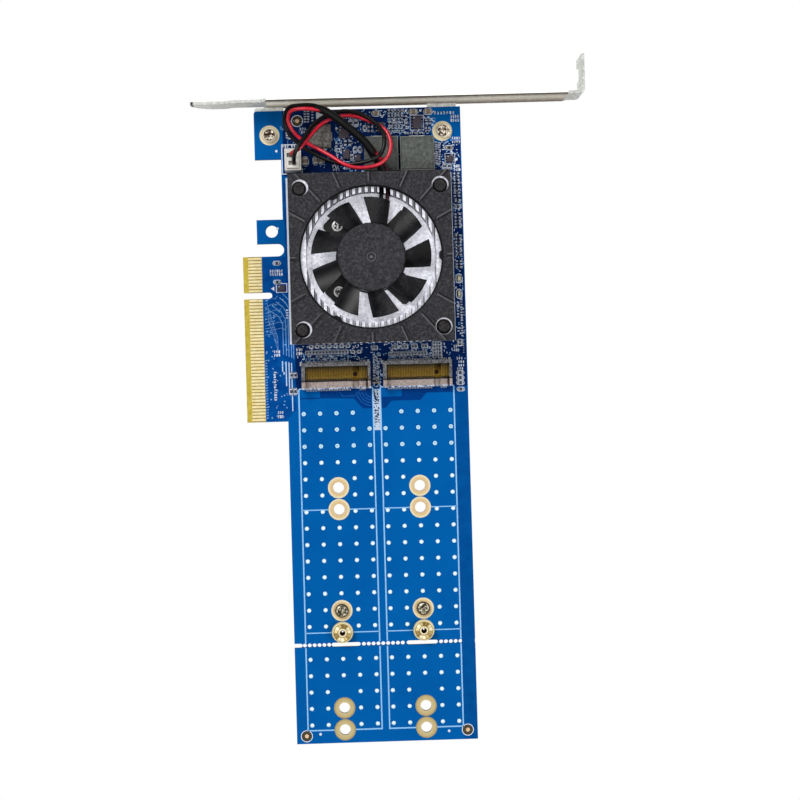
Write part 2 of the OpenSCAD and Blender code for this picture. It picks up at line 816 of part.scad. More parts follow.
module standoffs() color([0.84, 0.72, 0.36]) {
  for (x = module_xs) translate([x, fastened_row_y, 0]) difference() {
    rotate_extrude() polygon([
      [0, 0.9], [1.55, 0.9], [1.55, pad_z], [2.6, pad_z], [2.6, pad_z + 1.3],
      [3.1, pad_z + 1.5], [3.1, pad_z + 2.2], [2.9, pad_z + 2.4], [2.5, pad_z + 2.4],
      [1.35, pad_z + 2], [1.15, pad_z + 2.2], [0, pad_z + 2.2]
    ]);
    // Threaded hole, and the narrow end of its drilling
    translate([0, 0, 2]) cylinder(d = 1.6, h = 10);
    translate([0, 0, -1]) cylinder(d = 0.6, h = 10);
  }
}

module hex_nut(across, h, bore) {
  difference() {
    cylinder(d = across / cos(30), h = h, $fn = 6);
    translate([0, 0, -1]) cylinder(d = bore, h = h + 2);
  }
}

module standoff_nuts() color([0.80, 0.80, 0.80]) {
  for (x = module_xs)
    translate([x, fastened_row_y, board_z - copper_t - 1.5]) hex_nut(5, 1.5, 3.1);
}

module module_screws() color([0.42, 0.41, 0.38]) {
  for (x = module_xs) translate([x, fastened_row_y + near_offset_y, pad_z]) {
    cross_head(4.2, 1.5, 0.7, 2.6);
    translate([0, 0, 0.7 - pad_z]) cylinder(d = 2.5, h = pad_z - 0.7);
  }
}

module module_screw_nuts() color([0.80, 0.80, 0.80]) {
  for (x = module_xs)
    translate([x, fastened_row_y + near_offset_y, board_z - copper_t - 1.5]) hex_nut(4.5, 1.5, 2.5);
}

// ---------------------------------------------------------------- electronics

// A moulded power inductor with chamfered top edges and a terminal foot each side
module inductor(x0, x1, y0, y1, h) {
  c = 0.5;
  w = x1 - x0;
  d = y1 - y0;
  translate([x0, y0, board_top_z]) {
    intersection() {
      translate([0, d, 0]) rotate([90, 0, 0]) linear_extrude(height = d)
        polygon([[0, 0], [w, 0], [w, h - c], [w - c, h], [c, h], [0, h - c]]);
      rotate([90, 0, 90]) linear_extrude(height = w)
        polygon([[0, 0], [d, 0], [d, h - c], [d - c, h], [c, h], [0, h - c]]);
    }
  }
}

module power_inductors() color([0.33, 0.36, 0.34]) {
  inductor(3.75, 14.3, 71.7, 82.3, 4);
  inductor(-7.4, 3.1, 71.95, 82.5, 4);
}

module filter_inductor() color([0.38, 0.38, 0.37]) {
  inductor(-24, -17.6, 79.5, 86.8, 3);
}

// Flat chip package: middle, size across, height, and legs on two sides
module chip(x, y, w, d, h, legs = 0) {
  translate([x, y, board_top_z]) {
    translate([-w / 2, -d / 2, 0]) cube([w, d, h]);
    if (legs > 0)
      for (i = [0 : legs - 1])
        for (s = [-1, 1])
          translate([s * (w / 2 + 0.25) - 0.25, (i - (legs - 1) / 2) * d / legs - 0.15, 0])
            cube([0.5, 0.3, 0.25]);
  }
}

module regulator_chips() color([0.10, 0.10, 0.11]) {
  chip(9.25, 86.85, 3.4, 3.8, 0.9, 4);
  chip(-13.6, 84.1, 3.1, 3, 0.9);
  chip(-2.1, 85.7, 2.1, 3.1, 0.9, 3);
  chip(-13, 77.6, 2, 3, 0.8);
  chip(-9.5, 76.3, 1.9, 2, 0.8);
  chip(19.1, 75.4, 2.2, 2.8, 0.8, 3);
  chip(-34.3, 36.5, 2.2, 1.7, 0.7);
}

// Rows of small parts: middle of the first part, step to the next, count
module chip_row(x, y, dx, dy, n, w, d, h) {
  for (i = [0 : n - 1])
    translate([x + i * dx - w / 2, y + i * dy - d / 2, board_top_z]) cube([w, d, h]);
}

module ceramic_capacitors() color([0.62, 0.52, 0.40]) {
  // Around the inductors
  chip_row(-25.8, 75.7, 0, 0, 1, 1.6, 2.2, 1);
  chip_row(-22.6, 75.8, 1.8, 0, 2, 1.2, 1.8, 0.9);
  chip_row(-3.4, 90, 0, 0, 1, 2, 1.2, 0.9);
  chip_row(8.2, 90.2, 4.6, 0, 2, 2.2, 1.3, 0.9);
  chip_row(-11.4, 87.2, 1.7, 0, 2, 1, 1.6, 0.8);
  chip_row(-16, 80.6, 1.4, 0, 2, 0.6, 1.2, 0.5);
  chip_row(-13.2, 81, 1.4, 0, 2, 0.8, 1.6, 0.8);
  chip_row(12.2, 87, 1.1, 0, 2, 0.7, 1.2, 0.6);
  chip_row(17.5, 73, 1.5, 0, 2, 0.8, 1.2, 0.6);
  chip_row(21.2, 62.3, 0, -1.9, 2, 1.5, 0.9, 0.7);
  chip_row(20.7, 18.6, 0, -1.1, 2, 1.4, 0.6, 0.5);
  // Above the module sockets
  chip_row(-26.9, 16.2, 1.025, 0, 13, 0.55, 1.05, 0.5);
  chip_row(-25.6, 18, 1.9, 0, 7, 1.1, 0.55, 0.5);
  chip_row(-12.7, 16.1, 2, 0, 2, 1.05, 0.55, 0.5);
  chip_row(0, 17.3, 1, 0, 2, 0.55, 1.2, 0.5);
  chip_row(3, 17.3, 1, 0, 2, 0.55, 1.2, 0.5);
  chip_row(6, 17.3, 1, 0, 2, 0.55, 1.2, 0.5);
  chip_row(9.2, 17.3, 1, 0, 2, 0.55, 1.2, 0.5);
  chip_row(-1.1, 15.1, 1, 0, 12, 0.5, 1, 0.5);
  chip_row(12.7, 18, 0, -1, 5, 1.05, 0.55, 0.5);
  chip_row(14.3, 18, 0, -1, 5, 1.05, 0.55, 0.5);
  chip_row(-6.4, 17.2, 1, 0, 2, 0.55, 1.05, 0.5);
  // Beside the module sockets
  chip_row(-5.65, 7.5, 0, -1.15, 2, 1.8, 0.6, 0.5);
  chip_row(-31.9, 9.3, 1.2, 0, 2, 0.7, 1.5, 0.6);
  chip_row(-32.1, 4.25, 1.3, 0, 2, 0.8, 1.8, 0.7);
}

module chip_resistors() color([0.10, 0.10, 0.12]) {
  // Around the inductors
  chip_row(-5.3, 87.2, 0, -1.3, 3, 1.2, 0.7, 0.45);
  chip_row(-7, 85.5, 0, 0, 1, 0.6, 1.1, 0.45);
  chip_row(-15.5, 78.9, 0, 0, 1, 1.2, 0.6, 0.45);
  chip_row(-10.2, 78.9, 1.5, 0, 2, 0.7, 1.2, 0.45);
  chip_row(-11.3, 76.6, 0, 0, 1, 0.6, 1.1, 0.45);
  chip_row(0.6, 90.4, 1, 0, 5, 0.55, 1.1, 0.45);
  chip_row(0.6, 88.6, 1, 0, 5, 0.55, 1.1, 0.45);
  chip_row(0.6, 86.6, 1, 0, 5, 0.55, 1.1, 0.45);
  chip_row(0.6, 84.8, 1, 0, 5, 0.55, 1.1, 0.45);
  chip_row(5.9, 88.4, 0, -2.2, 2, 0.7, 1.2, 0.45);
  chip_row(6.8, 83.7, 1.4, 0, 3, 1.1, 0.6, 0.45);
  chip_row(12, 84.6, 1, 0, 2, 0.6, 1.1, 0.45);
  chip_row(19, 78.8, 0, 0, 1, 1.8, 0.9, 0.45);
  // Down the long edge beside the cooler
  chip_row(21.05, 70.7, 0, -1, 8, 1.6, 0.55, 0.45);
  chip_row(21.05, 58, 0, -1, 5, 1.6, 0.55, 0.45);
  chip_row(21.05, 51.4, 0, -1, 7, 1.6, 0.55, 0.45);
  chip_row(21.05, 43.4, 0, -0.95, 3, 1.6, 0.55, 0.45);
  chip_row(20.5, 8.7, 0, -1.55, 3, 1.6, 0.8, 0.45);
  chip_row(20.55, 3.6, 0, 0, 1, 1.6, 0.7, 0.45);
  // Beside the edge contacts
  chip_row(-35.5, 44.3, 0, -5.9, 2, 1.6, 0.8, 0.45);
}

module status_lamps() color([0.90, 0.88, 0.70]) {
  chip_row(21, 38, 0, 0, 1, 1, 1.8, 0.6);
  chip_row(20.9, 33.2, 0, 0, 1, 0.8, 2, 0.6);
}

// ---------------------------------------------------------------- fan lead

header_w = 5;
header_d = 6.7;
header_h = 6;
header_wall = 0.55;

module fan_header() color([0.93, 0.92, 0.88]) {
  translate([plug_x, plug_y, board_top_z]) difference() {
    box(-header_w / 2, header_w / 2, -header_d / 2, header_d / 2, 0, header_h);
    box(-header_w / 2 + header_wall, header_w / 2 - header_wall, -header_d / 2 + header_wall,
      header_d / 2 - header_wall, 1.2, header_h + 1);
    // Key slots in one long side
    for (s = [-1, 1])
      box(-header_w, -header_w / 2 + header_wall + eps, s * 1.6 - 0.4, s * 1.6 + 0.4, 2.5,
        header_h + 1);
    for (p = [black_pin, red_pin])
      translate([p.x - plug_x, p.y - plug_y, -1]) cylinder(d = 0.7, h = 4, $fn = 24);
  }
}

module fan_header_pins() color([0.85, 0.84, 0.80]) {
  for (p = [black_pin, red_pin])
    translate([p.x, p.y, board_z - 1.2]) cylinder(d = 0.7, h = board_t + 1.2 + 4.6, $fn = 24);
}

module fan_plug() color([0.95, 0.94, 0.91]) {
  w = header_w - 2 * header_wall - 0.1;
  d = header_d - 2 * header_wall - 0.1;
  low = board_top_z + 1.2;
  difference() {
    union() {
      translate([plug_x - w / 2, plug_y - d / 2, low]) cube([w, d, plug_top - low]);
      // Shoulder that rests on the header's rim
      translate([plug_x - header_w / 2, plug_y - header_d / 2, board_top_z + header_h])
        cube([header_w, header_d, plug_top - board_top_z - header_h - 0.6]);
    }
    for (p = [black_pin, red_pin])
      translate([p.x, p.y, low - 1]) cylinder(d = 1.5, h = plug_top - low + 2, $fn = 24);
    // Each wire comes out through the end of a slot
    for (p = plug_slots)
      translate([p.x - 1.15, p.y - 0.62, plug_top - 1]) cube([2.3, 1.24, 2]);
  }
}

module plug_terminals() color([0.82, 0.80, 0.74]) {
  low = board_top_z + 1.4;
  for (p = [black_pin, red_pin])
    translate([p.x, p.y, low]) difference() {
      cylinder(d = 1.5, h = plug_top - 0.6 - low, $fn = 24);
      translate([0, 0, -1]) cylinder(d = 0.7, h = 4.2, $fn = 24);
    }
}

module lead_black() color([0.05, 0.05, 0.05]) {
  tube(concat(black_rise, pair_wire(lead_route, 1)), wire_d / 2);
  tube(black_tail, wire_d / 2);
}

module lead_red() color([0.80, 0.08, 0.10]) {
  tube(concat(red_rise, pair_wire(lead_route, -1)), wire_d / 2);
  tube(red_tail, wire_d / 2);
}

module lead_sleeve() color([0.08, 0.08, 0.08]) {
  tube(sleeve_route, sleeve_d / 2);
}

// ---------------------------------------------------------------- output

pcb();
edge_contacts();
solder_pads();
bracket();
bracket_screws();
switch_chip();
thermal_pad();
heatsink();
push_pins();
push_pin_springs();
fan_cover();
fan_base();
fan_base_screws();
fan_board();
stator_core();
stator_coils();
fan_bearing();
impeller();
fan_shaft();
rotor_yoke();
rotor_magnet();
socket_left();
socket_right();
socket_contacts_left();
socket_contacts_right();
standoffs();
standoff_nuts();
module_screws();
module_screw_nuts();
power_inductors();
filter_inductor();
regulator_chips();
ceramic_capacitors();
chip_resistors();
status_lamps();
fan_header();
fan_header_pins();
fan_plug();
plug_terminals();
lead_black();
lead_red();
lead_sleeve();
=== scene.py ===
"""Looks for the adapter card: camera, leads, materials, board artwork, small parts, light."""
import math
import random
from functools import partialmethod

import bpy
from mathutils import Matrix, Vector


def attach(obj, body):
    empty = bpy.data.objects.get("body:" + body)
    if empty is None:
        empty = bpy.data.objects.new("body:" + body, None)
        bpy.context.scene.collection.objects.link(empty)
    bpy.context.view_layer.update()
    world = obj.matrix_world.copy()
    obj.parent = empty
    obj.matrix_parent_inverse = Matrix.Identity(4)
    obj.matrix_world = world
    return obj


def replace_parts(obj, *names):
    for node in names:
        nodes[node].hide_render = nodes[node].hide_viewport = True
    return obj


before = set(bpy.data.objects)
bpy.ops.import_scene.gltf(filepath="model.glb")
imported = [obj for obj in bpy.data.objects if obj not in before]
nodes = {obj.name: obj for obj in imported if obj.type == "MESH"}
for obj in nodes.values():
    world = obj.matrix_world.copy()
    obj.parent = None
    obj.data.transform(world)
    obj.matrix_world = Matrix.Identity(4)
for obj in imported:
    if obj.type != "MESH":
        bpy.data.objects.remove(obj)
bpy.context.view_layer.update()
rng = random.Random(7)
MM = 0.001


def place(name, data):
    """A new object in the scene."""
    obj = bpy.data.objects.new(name, data)
    bpy.context.scene.collection.objects.link(obj)
    return obj


def on_card(name, data):
    """A new object that moves with the card."""
    obj = place(name, data)
    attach(obj, "card")
    return obj


# ---- camera
cam_data = bpy.data.cameras.new("camera")
cam_data.sensor_width = 36
cam_data.lens = 101.53
cam_data.shift_x = -0.00625
cam_data.shift_y = -0.0375
cam_data.clip_end = 10
camera = place("camera", cam_data)
camera.matrix_world = Matrix((
    (0.9993768, 0.0280756, -0.0213958, -0.01164),
    (-0.0283368, 0.9995264, -0.0120041, 0.00158),
    (0.0210486, 0.0126029, 0.999699, 0.7051),
    (0, 0, 0, 1),
))
bpy.context.scene.camera = camera

# ---- card's main places (mm)
TOP = 4.17                      # component face of the board
FAN = (-6.2, 44.8)
MODULES = (-18.3, 6.95)         # middle of each module across the card
BETWEEN_MODULES = sum(MODULES) / 2
FAR_ROWS = (-32.7, -70.8, -100.95)
FASTENED_ROW = FAR_ROWS[1]
BREAK_Y = -74.6
NEAR = 6.75                     # from a row of module holes to its second row
PADS = [(x, y + d) for x in MODULES for y in FAR_ROWS for d in (0, NEAR)]
SCREW_XS = (-36.7, 17.05)
SCREW_Y = 84.05
BRACKET_SCREWS = [(x, SCREW_Y) for x in SCREW_XS]
PIN_OFFSET = 21.65
PUSH_PINS = [(FAN[0] + i * PIN_OFFSET, FAN[1] - 0.25 + j * PIN_OFFSET) for i in (-1, 1) for j in (-1, 1)]
FAN_SCREW_RADIUS = 14.4
FAN_SCREWS = [(FAN[0] + FAN_SCREW_RADIUS * math.cos(math.radians(a)),
               FAN[1] + FAN_SCREW_RADIUS * math.sin(math.radians(a))) for a in (45, 135, 225, 315)]
COVER_RIBS = (0, 28.5, 47.5, 65.5, 90, 112.6, 130.7, 149.7)     # directions in degrees

# The same card as the shaders measure it, in metres
FIN_PITCH = 0.00193
POCKET_RADIUS = 0.02          # of the heatsink's round pocket
HUB_RADIUS = 0.0104
OPENING_RADIUS = 0.02212        # of the cover, inside its sloped rim
RIBS_START = 0.0232             # radius from which the cover's ribs run outwards
COVER_FACE = 0.0153             # height above which only the cover's face lies
PIN_WELL = 0.00233              # radius of the shade round a push pin
MASK_END = -0.04015             # the tongue left of this has no solder mask
BEVEL_START = -0.0443           # along X, of the tongue's bevel
TONGUE_TOP = 0.0468             # along Y
LIP_END = 0.0074                # along Y, where a socket's lip ends and its body starts
CONE_RADIUS = 0.00282           # of the standoff's streaked cone, inside its pale rim
COLLAR_RADIUS = 0.00135
BORE_RADIUS = 0.00086
FIN_FOOT = 0.0084               # height under which a face lies between the fins
BRACKET_HEIGHT = 0.0184
INNER_FACE = 0.0929             # of the bracket's plate
CUT_EDGE = 0.0175               # height above which only the bracket's cut edge lies
TABS_TOP = 0.006                # the bracket's mounting tabs lie below this height
PLATE_ENDS = (-0.0372, 0.0553)  # along X
FLAT = 0.6                      # a face whose normal rises more than this counts as flat


def linear_colour(value):
    """A string is an 8-bit sRGB colour, such as "f0e8d0", and is made linear; the rest stays."""
    if not isinstance(value, str):
        return value
    parts = [int(value[i:i + 2], 16) / 255 for i in (0, 2, 4)]
    return (*(c / 12.92 if c <= 0.04045 else ((c + 0.055) / 1.055) ** 2.4 for c in parts), 1)


# ---- materials
MATS = {}                       # every material by its name


class Mat:
    """A material with one Principled shader and short ways to add procedural detail."""

    def __init__(s, name, rough=0.5, metal=0, spec=0.5, bevel=0):
        MATS[name] = s
        s.m = bpy.data.materials.new(name)
        s.m.use_nodes = True
        s.t = s.m.node_tree
        s.t.nodes.clear()
        s.b = s.add("ShaderNodeBsdfPrincipled", {"Roughness": rough, "Metallic": metal,
                                                 "Specular IOR Level": spec})
        s.out = s.add("ShaderNodeOutputMaterial", {0: s.b.outputs[0]})
        s.co = s.add("ShaderNodeTexCoord").outputs["Object"]
        s.normal = None
        if bevel:
            s.normal = s.add("ShaderNodeBevel", {"Radius": bevel}, samples=4).outputs[0]
            s.put("Normal", s.normal)

    def add(s, kind, inputs=None, **settings):
        """A new node with its settings, and with numbers, colours or links on its inputs."""
        n = s.t.nodes.new(kind)
        for key, value in settings.items():
            setattr(n, key, value)
        for key, value in (inputs or {}).items():
            s.feed(n.inputs[key], value)
        return n

    def feed(s, socket, value):
        if isinstance(value, bpy.types.NodeSocket):
            s.t.links.new(value, socket)
        else:
            socket.default_value = linear_colour(value)

    def put(s, name, value):
        s.feed(s.b.inputs[name], value)

    def paint(s, colour):
        s.put("Base Color", colour)

    def math(s, op, *values):
        return s.add("ShaderNodeMath", dict(enumerate(values)), operation=op).outputs[0]

    times = partialmethod(math, "MULTIPLY")
    plus = partialmethod(math, "ADD")
    minus = partialmethod(math, "SUBTRACT")
    below = partialmethod(math, "LESS_THAN")
    above = partialmethod(math, "GREATER_THAN")
    linear = partialmethod(math, "MULTIPLY_ADD")        # value, slope, offset

    def xyz(s, vector=None):
        return s.add("ShaderNodeSeparateXYZ", {0: vector or s.co}).outputs

    def up(s):
        """How far the surface faces up: 1 on flat tops, 0 on upright walls."""
        return s.xyz(s.add("ShaderNodeNewGeometry").outputs["Normal"])[2]

    def from_axis(s, cx, cy):
        """Offsets along X and Y, in metres, from the upright axis through cx, cy (mm)."""
        x, y, _ = s.xyz()
        return s.minus(x, cx * MM), s.minus(y, cy * MM)

    def distance(s, cx, cy):
        """Distance in metres from the upright axis through cx, cy (mm)."""
        dx, dy = s.from_axis(cx, cy)
        return s.math("SQRT", s.plus(s.times(dx, dx), s.times(dy, dy)))

    def nearest(s, centres):
        """Distance in metres from the nearest of several upright axes (mm)."""
        r = s.distance(*centres[0])
        for c in centres[1:]:
            r = s.math("MINIMUM", r, s.distance(*c))
        return r

    def band(s, value, low, high, soft=0.00006):
        """1 where the value lies between low and high, 0 elsewhere, with soft ends."""
        mid, half = (low + high) / 2, (high - low) / 2
        off = s.math("ABSOLUTE", s.minus(value, mid))
        return s.add("ShaderNodeMapRange",
                     {0: off, 1: half - soft, 2: half + soft, 3: 1, 4: 0}).outputs[0]

    def stretched(s, x, y, z):
        return s.add("ShaderNodeMapping", {0: s.co, "Scale": (x, y, z)}).outputs[0]

    def noise(s, scale, detail=3, rough=0.55, co=None):
        return s.add("ShaderNodeTexNoise", {"Vector": co or s.co, "Scale": scale,
                                            "Detail": detail, "Roughness": rough}).outputs[0]

    def cells(s, scale):
        return s.add("ShaderNodeTexVoronoi", {"Vector": s.co, "Scale": scale}).outputs[0]

    def ramp(s, fac, *stops):
        """A colour, or a number as a grey, at each stop of the factor."""
        n = s.add("ShaderNodeValToRGB", {0: fac})
        el = n.color_ramp.elements
        while len(el) < len(stops):
            el.new(0.5)
        for e, (p, c) in zip(el, stops):
            e.position = p
            e.color = (c, c, c, 1) if isinstance(c, (int, float)) else linear_colour(c)
        return n.outputs[0]

    def veil(s, fac, low, high, amount):
        """A mask that rises from 0 at low to the amount at high."""
        return s.ramp(fac, (low, 0), (high, amount))

    def mix(s, fac, a, b, mode="MIX"):
        return s.add("ShaderNodeMix", {0: fac, 6: a, 7: b}, data_type="RGBA",
                     blend_type=mode).outputs[2]

    def layers(s, base, *rows):
        """The base with further colours over it, each by its own mask."""
        for mask, colour in rows:
            base = s.mix(mask, base, colour)
        return base

    def openness(s, reach):
        """1 on open faces, less where other faces stand within reach."""
        return s.add("ShaderNodeAmbientOcclusion", {"Distance": reach}, samples=6).outputs["AO"]

    def paint_recess_shade(s, colour, reach, dark, low=0.25, high=0.85):
        """Base colour with painted shade, darkened where the surface lies in a recess."""
        colour = s.mix(1, colour, s.ramp(s.openness(reach), (low, dark), (high, 1)), "MULTIPLY")
        s.paint(colour)
        return colour

    def glow(s, colour, strength):
        """A weak glow that stands for light thrown back from nearby parts."""
        s.put("Emission Color", colour)
        s.put("Emission Strength", strength)

    def grain(s, fine, smooth, rough, height, strength):
        """Roughness between two values by the grain, and its relief."""
        s.put("Roughness", s.ramp(fine, (0.3, smooth), (0.7, rough)))
        s.bump(fine, height, strength)

    def bump(s, fac, height, strength):
        """Relief from a factor, on top of the bevel's normal."""
        inputs = {"Strength": strength, "Distance": height, "Height": fac}
        if s.normal is not None:
            inputs["Normal"] = s.normal
        s.normal = s.add("ShaderNodeBump", inputs).outputs[0]
        s.put("Normal", s.normal)


def grained(name, dark, light, grain, rough, **kw):
    """Moulded plastic or pressed powder: fine mottled colour, painted shade in recesses, eroded-surface
    relief.
    """
    m = Mat(name, rough=rough, **kw)
    fine = m.noise(grain, 4, 0.65)
    m.paint_recess_shade(m.mix(m.veil(m.noise(grain / 25, 2), 0.35, 0.7, 0.35),
                     m.ramp(fine, (0.32, dark), (0.68, light)), light), 0.0006, 0.35)
    m.grain(fine, rough - 0.08, min(1, rough + 0.1), 0.00002, 0.6)


def plated(name, dark, light, rough, streak=(1, 1, 1), scale=900, bump=0.000012, bevel=0.0001):
    """Bare or plated metal: streaked roughness, faint tarnish and wear, painted shade in recesses."""
    m = Mat(name, rough=rough, metal=1, bevel=bevel)
    lines = m.noise(scale, 3, 0.6, m.stretched(*streak))
    m.paint_recess_shade(m.mix(m.veil(m.noise(scale / 4, 3, 0.6), 0.35, 0.65, 1), light, dark), 0.0008, 0.08)
    m.grain(lines, rough * 0.75, min(1, rough * 1.35), bump, 0.5)


def eroded_black(m):
    """Spark-eroded black plastic: patches, and light and dark specks of about half a millimetre."""
    fine = m.noise(1200, 3, 0.7)
    base = m.ramp(fine, (0.34, "16161b"), (0.5, "2a2a2f"), (0.66, "46464d"))
    return fine, m.layers(base, (m.veil(m.noise(240, 2, 0.6), 0.35, 0.65, 0.35), "302e31"),
                          (m.ramp(m.cells(1300), (0.1, 0.45), (0.22, 0)), "6c6c74"),
                          (m.ramp(m.cells(1000), (0.08, 0.7), (0.22, 0)), "121216"))


def cover_plastic():
    """The fan's cover: painted shade along one side of each raised rib and a painted highlight along the
    other.
    """
    m = Mat("cover_plastic", rough=0.6, spec=0.25, bevel=0.00018)
    fine, base = eroded_black(m)
    r, (dx, dy) = m.distance(*FAN), m.from_axis(*FAN)
    outside = m.times(m.above(r, RIBS_START), m.above(m.xyz()[2], COVER_FACE))
    for angle in COVER_RIBS:
        a = math.radians(angle)
        off = m.plus(m.times(dx, -math.sin(a)), m.times(dy, math.cos(a)))
        # Painted shade on one side of each rib, painted highlight on the other, as if lit from the upper
        # left
        for low, high, amount, colour in ((-0.00052, -0.00012, 0.85, "0c0c0f"),
                                          (0.00014, 0.00048, 0.5, "7c787c")):
            edge = m.times(outside, m.band(off, low, high))
            base = m.mix(m.times(edge, amount), base, colour)
    # Painted shade: the sloped rim of the opening and the walls below it are painted nearly black, and
    # recesses are darkened
    m.paint_recess_shade(m.mix(m.below(r, OPENING_RADIUS), base, "0e0e14"), 0.0005, 0.3, 0.35, 0.95)
    m.grain(fine, 0.5, 0.75, 0.00006, 0.8)


def impeller_plastic():
    """The impeller: its hub's flat top is eroded to a matt grain, its blades are smooth."""
    m = Mat("impeller_plastic", rough=0.4, spec=0.3, bevel=0.00012)
    fine, base = eroded_black(m)
    r = m.distance(*FAN)
    hub = m.below(r, HUB_RADIUS)
    # Gate mark in the middle: a fine pale ring, a dark one inside it and a pale spot
    base = m.layers(base, (m.times(m.band(r, 0.00115, 0.0014), 0.8), "706e74"),
                    (m.times(m.band(r, 0.00085, 0.0011), 0.7), "18181b"),
                    (m.times(m.below(r, 0.0004), 0.8), "78767c"))
    # Painted highlight: broad paler patches on the blades stand for the soft sheen on them
    blade = m.mix(m.veil(m.noise(110, 2, 0.6), 0.42, 0.66, 0.8),
                  m.ramp(fine, (0.35, "08080a"), (0.75, "18181b")),
                  m.ramp(fine, (0.35, "1a1a1e"), (0.7, "3e3c40")))
    # Painted shade where the impeller lies in recesses
    m.paint_recess_shade(m.mix(hub, blade, base), 0.0006, 0.4)
    m.put("Roughness", m.linear(hub, 0.26, 0.38))
    m.bump(m.times(fine, m.linear(hub, 0.85, 0.15)), 0.00005, 0.8)


def push_pin_nylon():
    """Black nylon pins: a mottled head inside a rounded edge painted blacker as shade."""
    m = Mat("black_nylon", spec=0.2, bevel=0.00015)
    fine = m.noise(1100, 3, 0.7)
    head = m.ramp(fine, (0.35, "121012"), (0.65, "3a3638"))
    # Painted shade: the rounded edge of each head, and what shows round it, are painted near black
    edge = m.band(m.nearest(PUSH_PINS), 0.00165, 0.0024, 0.0001)
    m.paint(m.mix(edge, head, "050507"))
    m.bump(fine, 0.00003, 0.5)


def heatsink_aluminium():
    """Pale milled aluminium: bright pocket floor and fin tops, the channels between in shade, the light
    and shade painted into its colour and glow.
    """
    m = Mat("heatsink_aluminium", metal=0.1, spec=0.3, bevel=0.00005)
    r, (dx, dy) = m.distance(*FAN), m.from_axis(*FAN)
    fine = m.noise(1300, 4, 0.7)
    streak = m.noise(420, 3, 0.6, m.stretched(1, 0.3, 1))
    low = m.below(m.xyz()[2], FIN_FOOT)
    flat = m.above(m.up(), FLAT)
    channel = m.times(low, m.above(r, POCKET_RADIUS))
    # Painted shade: each channel's floor is dark along both fins, paler down its middle
    off = m.math("ABSOLUTE", m.math("WRAP", dx, -FIN_PITCH / 2, FIN_PITCH / 2))
    edge = m.times(channel, m.band(off, 0.00032, 0.0007))
    # Painted light: the channels grow paler towards the near right, where light falls into them more
    # freely
    free = m.ramp(m.linear(m.minus(dx, dy), 22, 0.35), (0, 0), (1, 1))
    # Painted shade in the channels and along the fins, lifted by painted light towards the near right
    colour = m.layers(m.ramp(fine, (0.36, "babbc6"), (0.62, "f6f7fe")),
                      (m.veil(streak, 0.35, 0.7, 0.35), "bebed0"),
                      (m.times(channel, 0.6), "9696a4"),
                      (m.times(channel, m.times(free, 0.7)), "e2e2ea"),
                      (edge, m.mix(free, "14141c", "96969e")))
    # Painted shade: faces that are not flat are darkened
    colour = m.mix(m.minus(1, flat), colour, m.mix(0.75, colour, "1e1e26"))
    # Painted shade: round each push pin the well is painted dark, so only its outer edge looks lit
    well = m.nearest(PUSH_PINS)
    colour = m.paint_recess_shade(m.mix(m.below(well, PIN_WELL), colour, "121216"), 0.001, 0.35, 0.15, 0.6)
    # Painted light: a glow for the light that bounces about between the milled faces, strongest on the
    # pocket floor and in a ring round each push pin
    pocket = m.times(m.times(flat, low), m.below(r, POCKET_RADIUS))
    bounce = m.plus(m.linear(pocket, 0.33, 0.22), m.times(channel, m.times(free, 0.4)))
    bounce = m.times(bounce, m.linear(flat, 0.95, 0.05))
    m.glow(colour, m.linear(m.below(well, 0.0032), 0.5, bounce))
    m.grain(fine, 0.4, 0.6, 0.00002, 0.5)


def board_material():
    """Solder mask over copper and laminate; bare laminate on the tongue and the cut edges."""
    m = Mat("board_laminate", spec=0.02)
    x, y, _ = m.xyz()
    face = m.above(m.math("ABSOLUTE", m.up()), FLAT)
    # Woven glass shows faintly through the mask
    weave = m.add("ShaderNodeTexChecker", {"Vector": m.co, "Scale": 2600}).outputs[1]
    mask = m.layers(m.ramp(m.noise(55), (0.3, "0059a5"), (0.7, "0063b2")),
                    (m.veil(m.noise(1500, 4, 0.7), 0.35, 0.75, 0.4), "0068b8"),
                    (m.times(weave, 0.06), "00387e"))
    # Unmasked tongue beside the contacts, ochre along the bevel
    bare = m.times(m.below(x, MASK_END), m.below(y, TONGUE_TOP))
    resin = m.mix(m.below(x, BEVEL_START),
                  m.ramp(m.noise(700), (0.3, "967e46"), (0.7, "b29a5c")),
                  m.ramp(m.noise(900), (0.3, "baa234"), (0.7, "d2be54")))
    edge = m.ramp(m.noise(1500, 3, 0.6, m.stretched(1, 1, 6)),
                  (0.3, "3c4a46"), (0.7, "788060"))
    # Painted shade where the board lies in recesses, round and between parts
    m.paint_recess_shade(m.mix(face, edge, m.mix(bare, mask, resin)), 0.0008, 0.25, 0.2, 0.8)
    m.put("Roughness", m.mix(face, (0.75, 0.75, 0.75, 1), m.ramp(m.noise(400), (0.3, 0.42), (0.7, 0.6))))
    m.bump(m.noise(260, 2), 0.00004, 0.35)


def gilt(m, y, fine):
    """Dull gold in the socket's window, sinking into shade towards the back wall."""
    back = m.math("DIVIDE", m.minus(y, 0.0075), 0.00425)
    colour = m.ramp(back, (0, "70560a"), (0.2, "947410"), (0.55, "8c6c12"),
                    (0.85, "604c10"), (1, "2e2408"))
    return m.mix(m.veil(fine, 0.42, 0.62, 0.5), colour, "563e06")


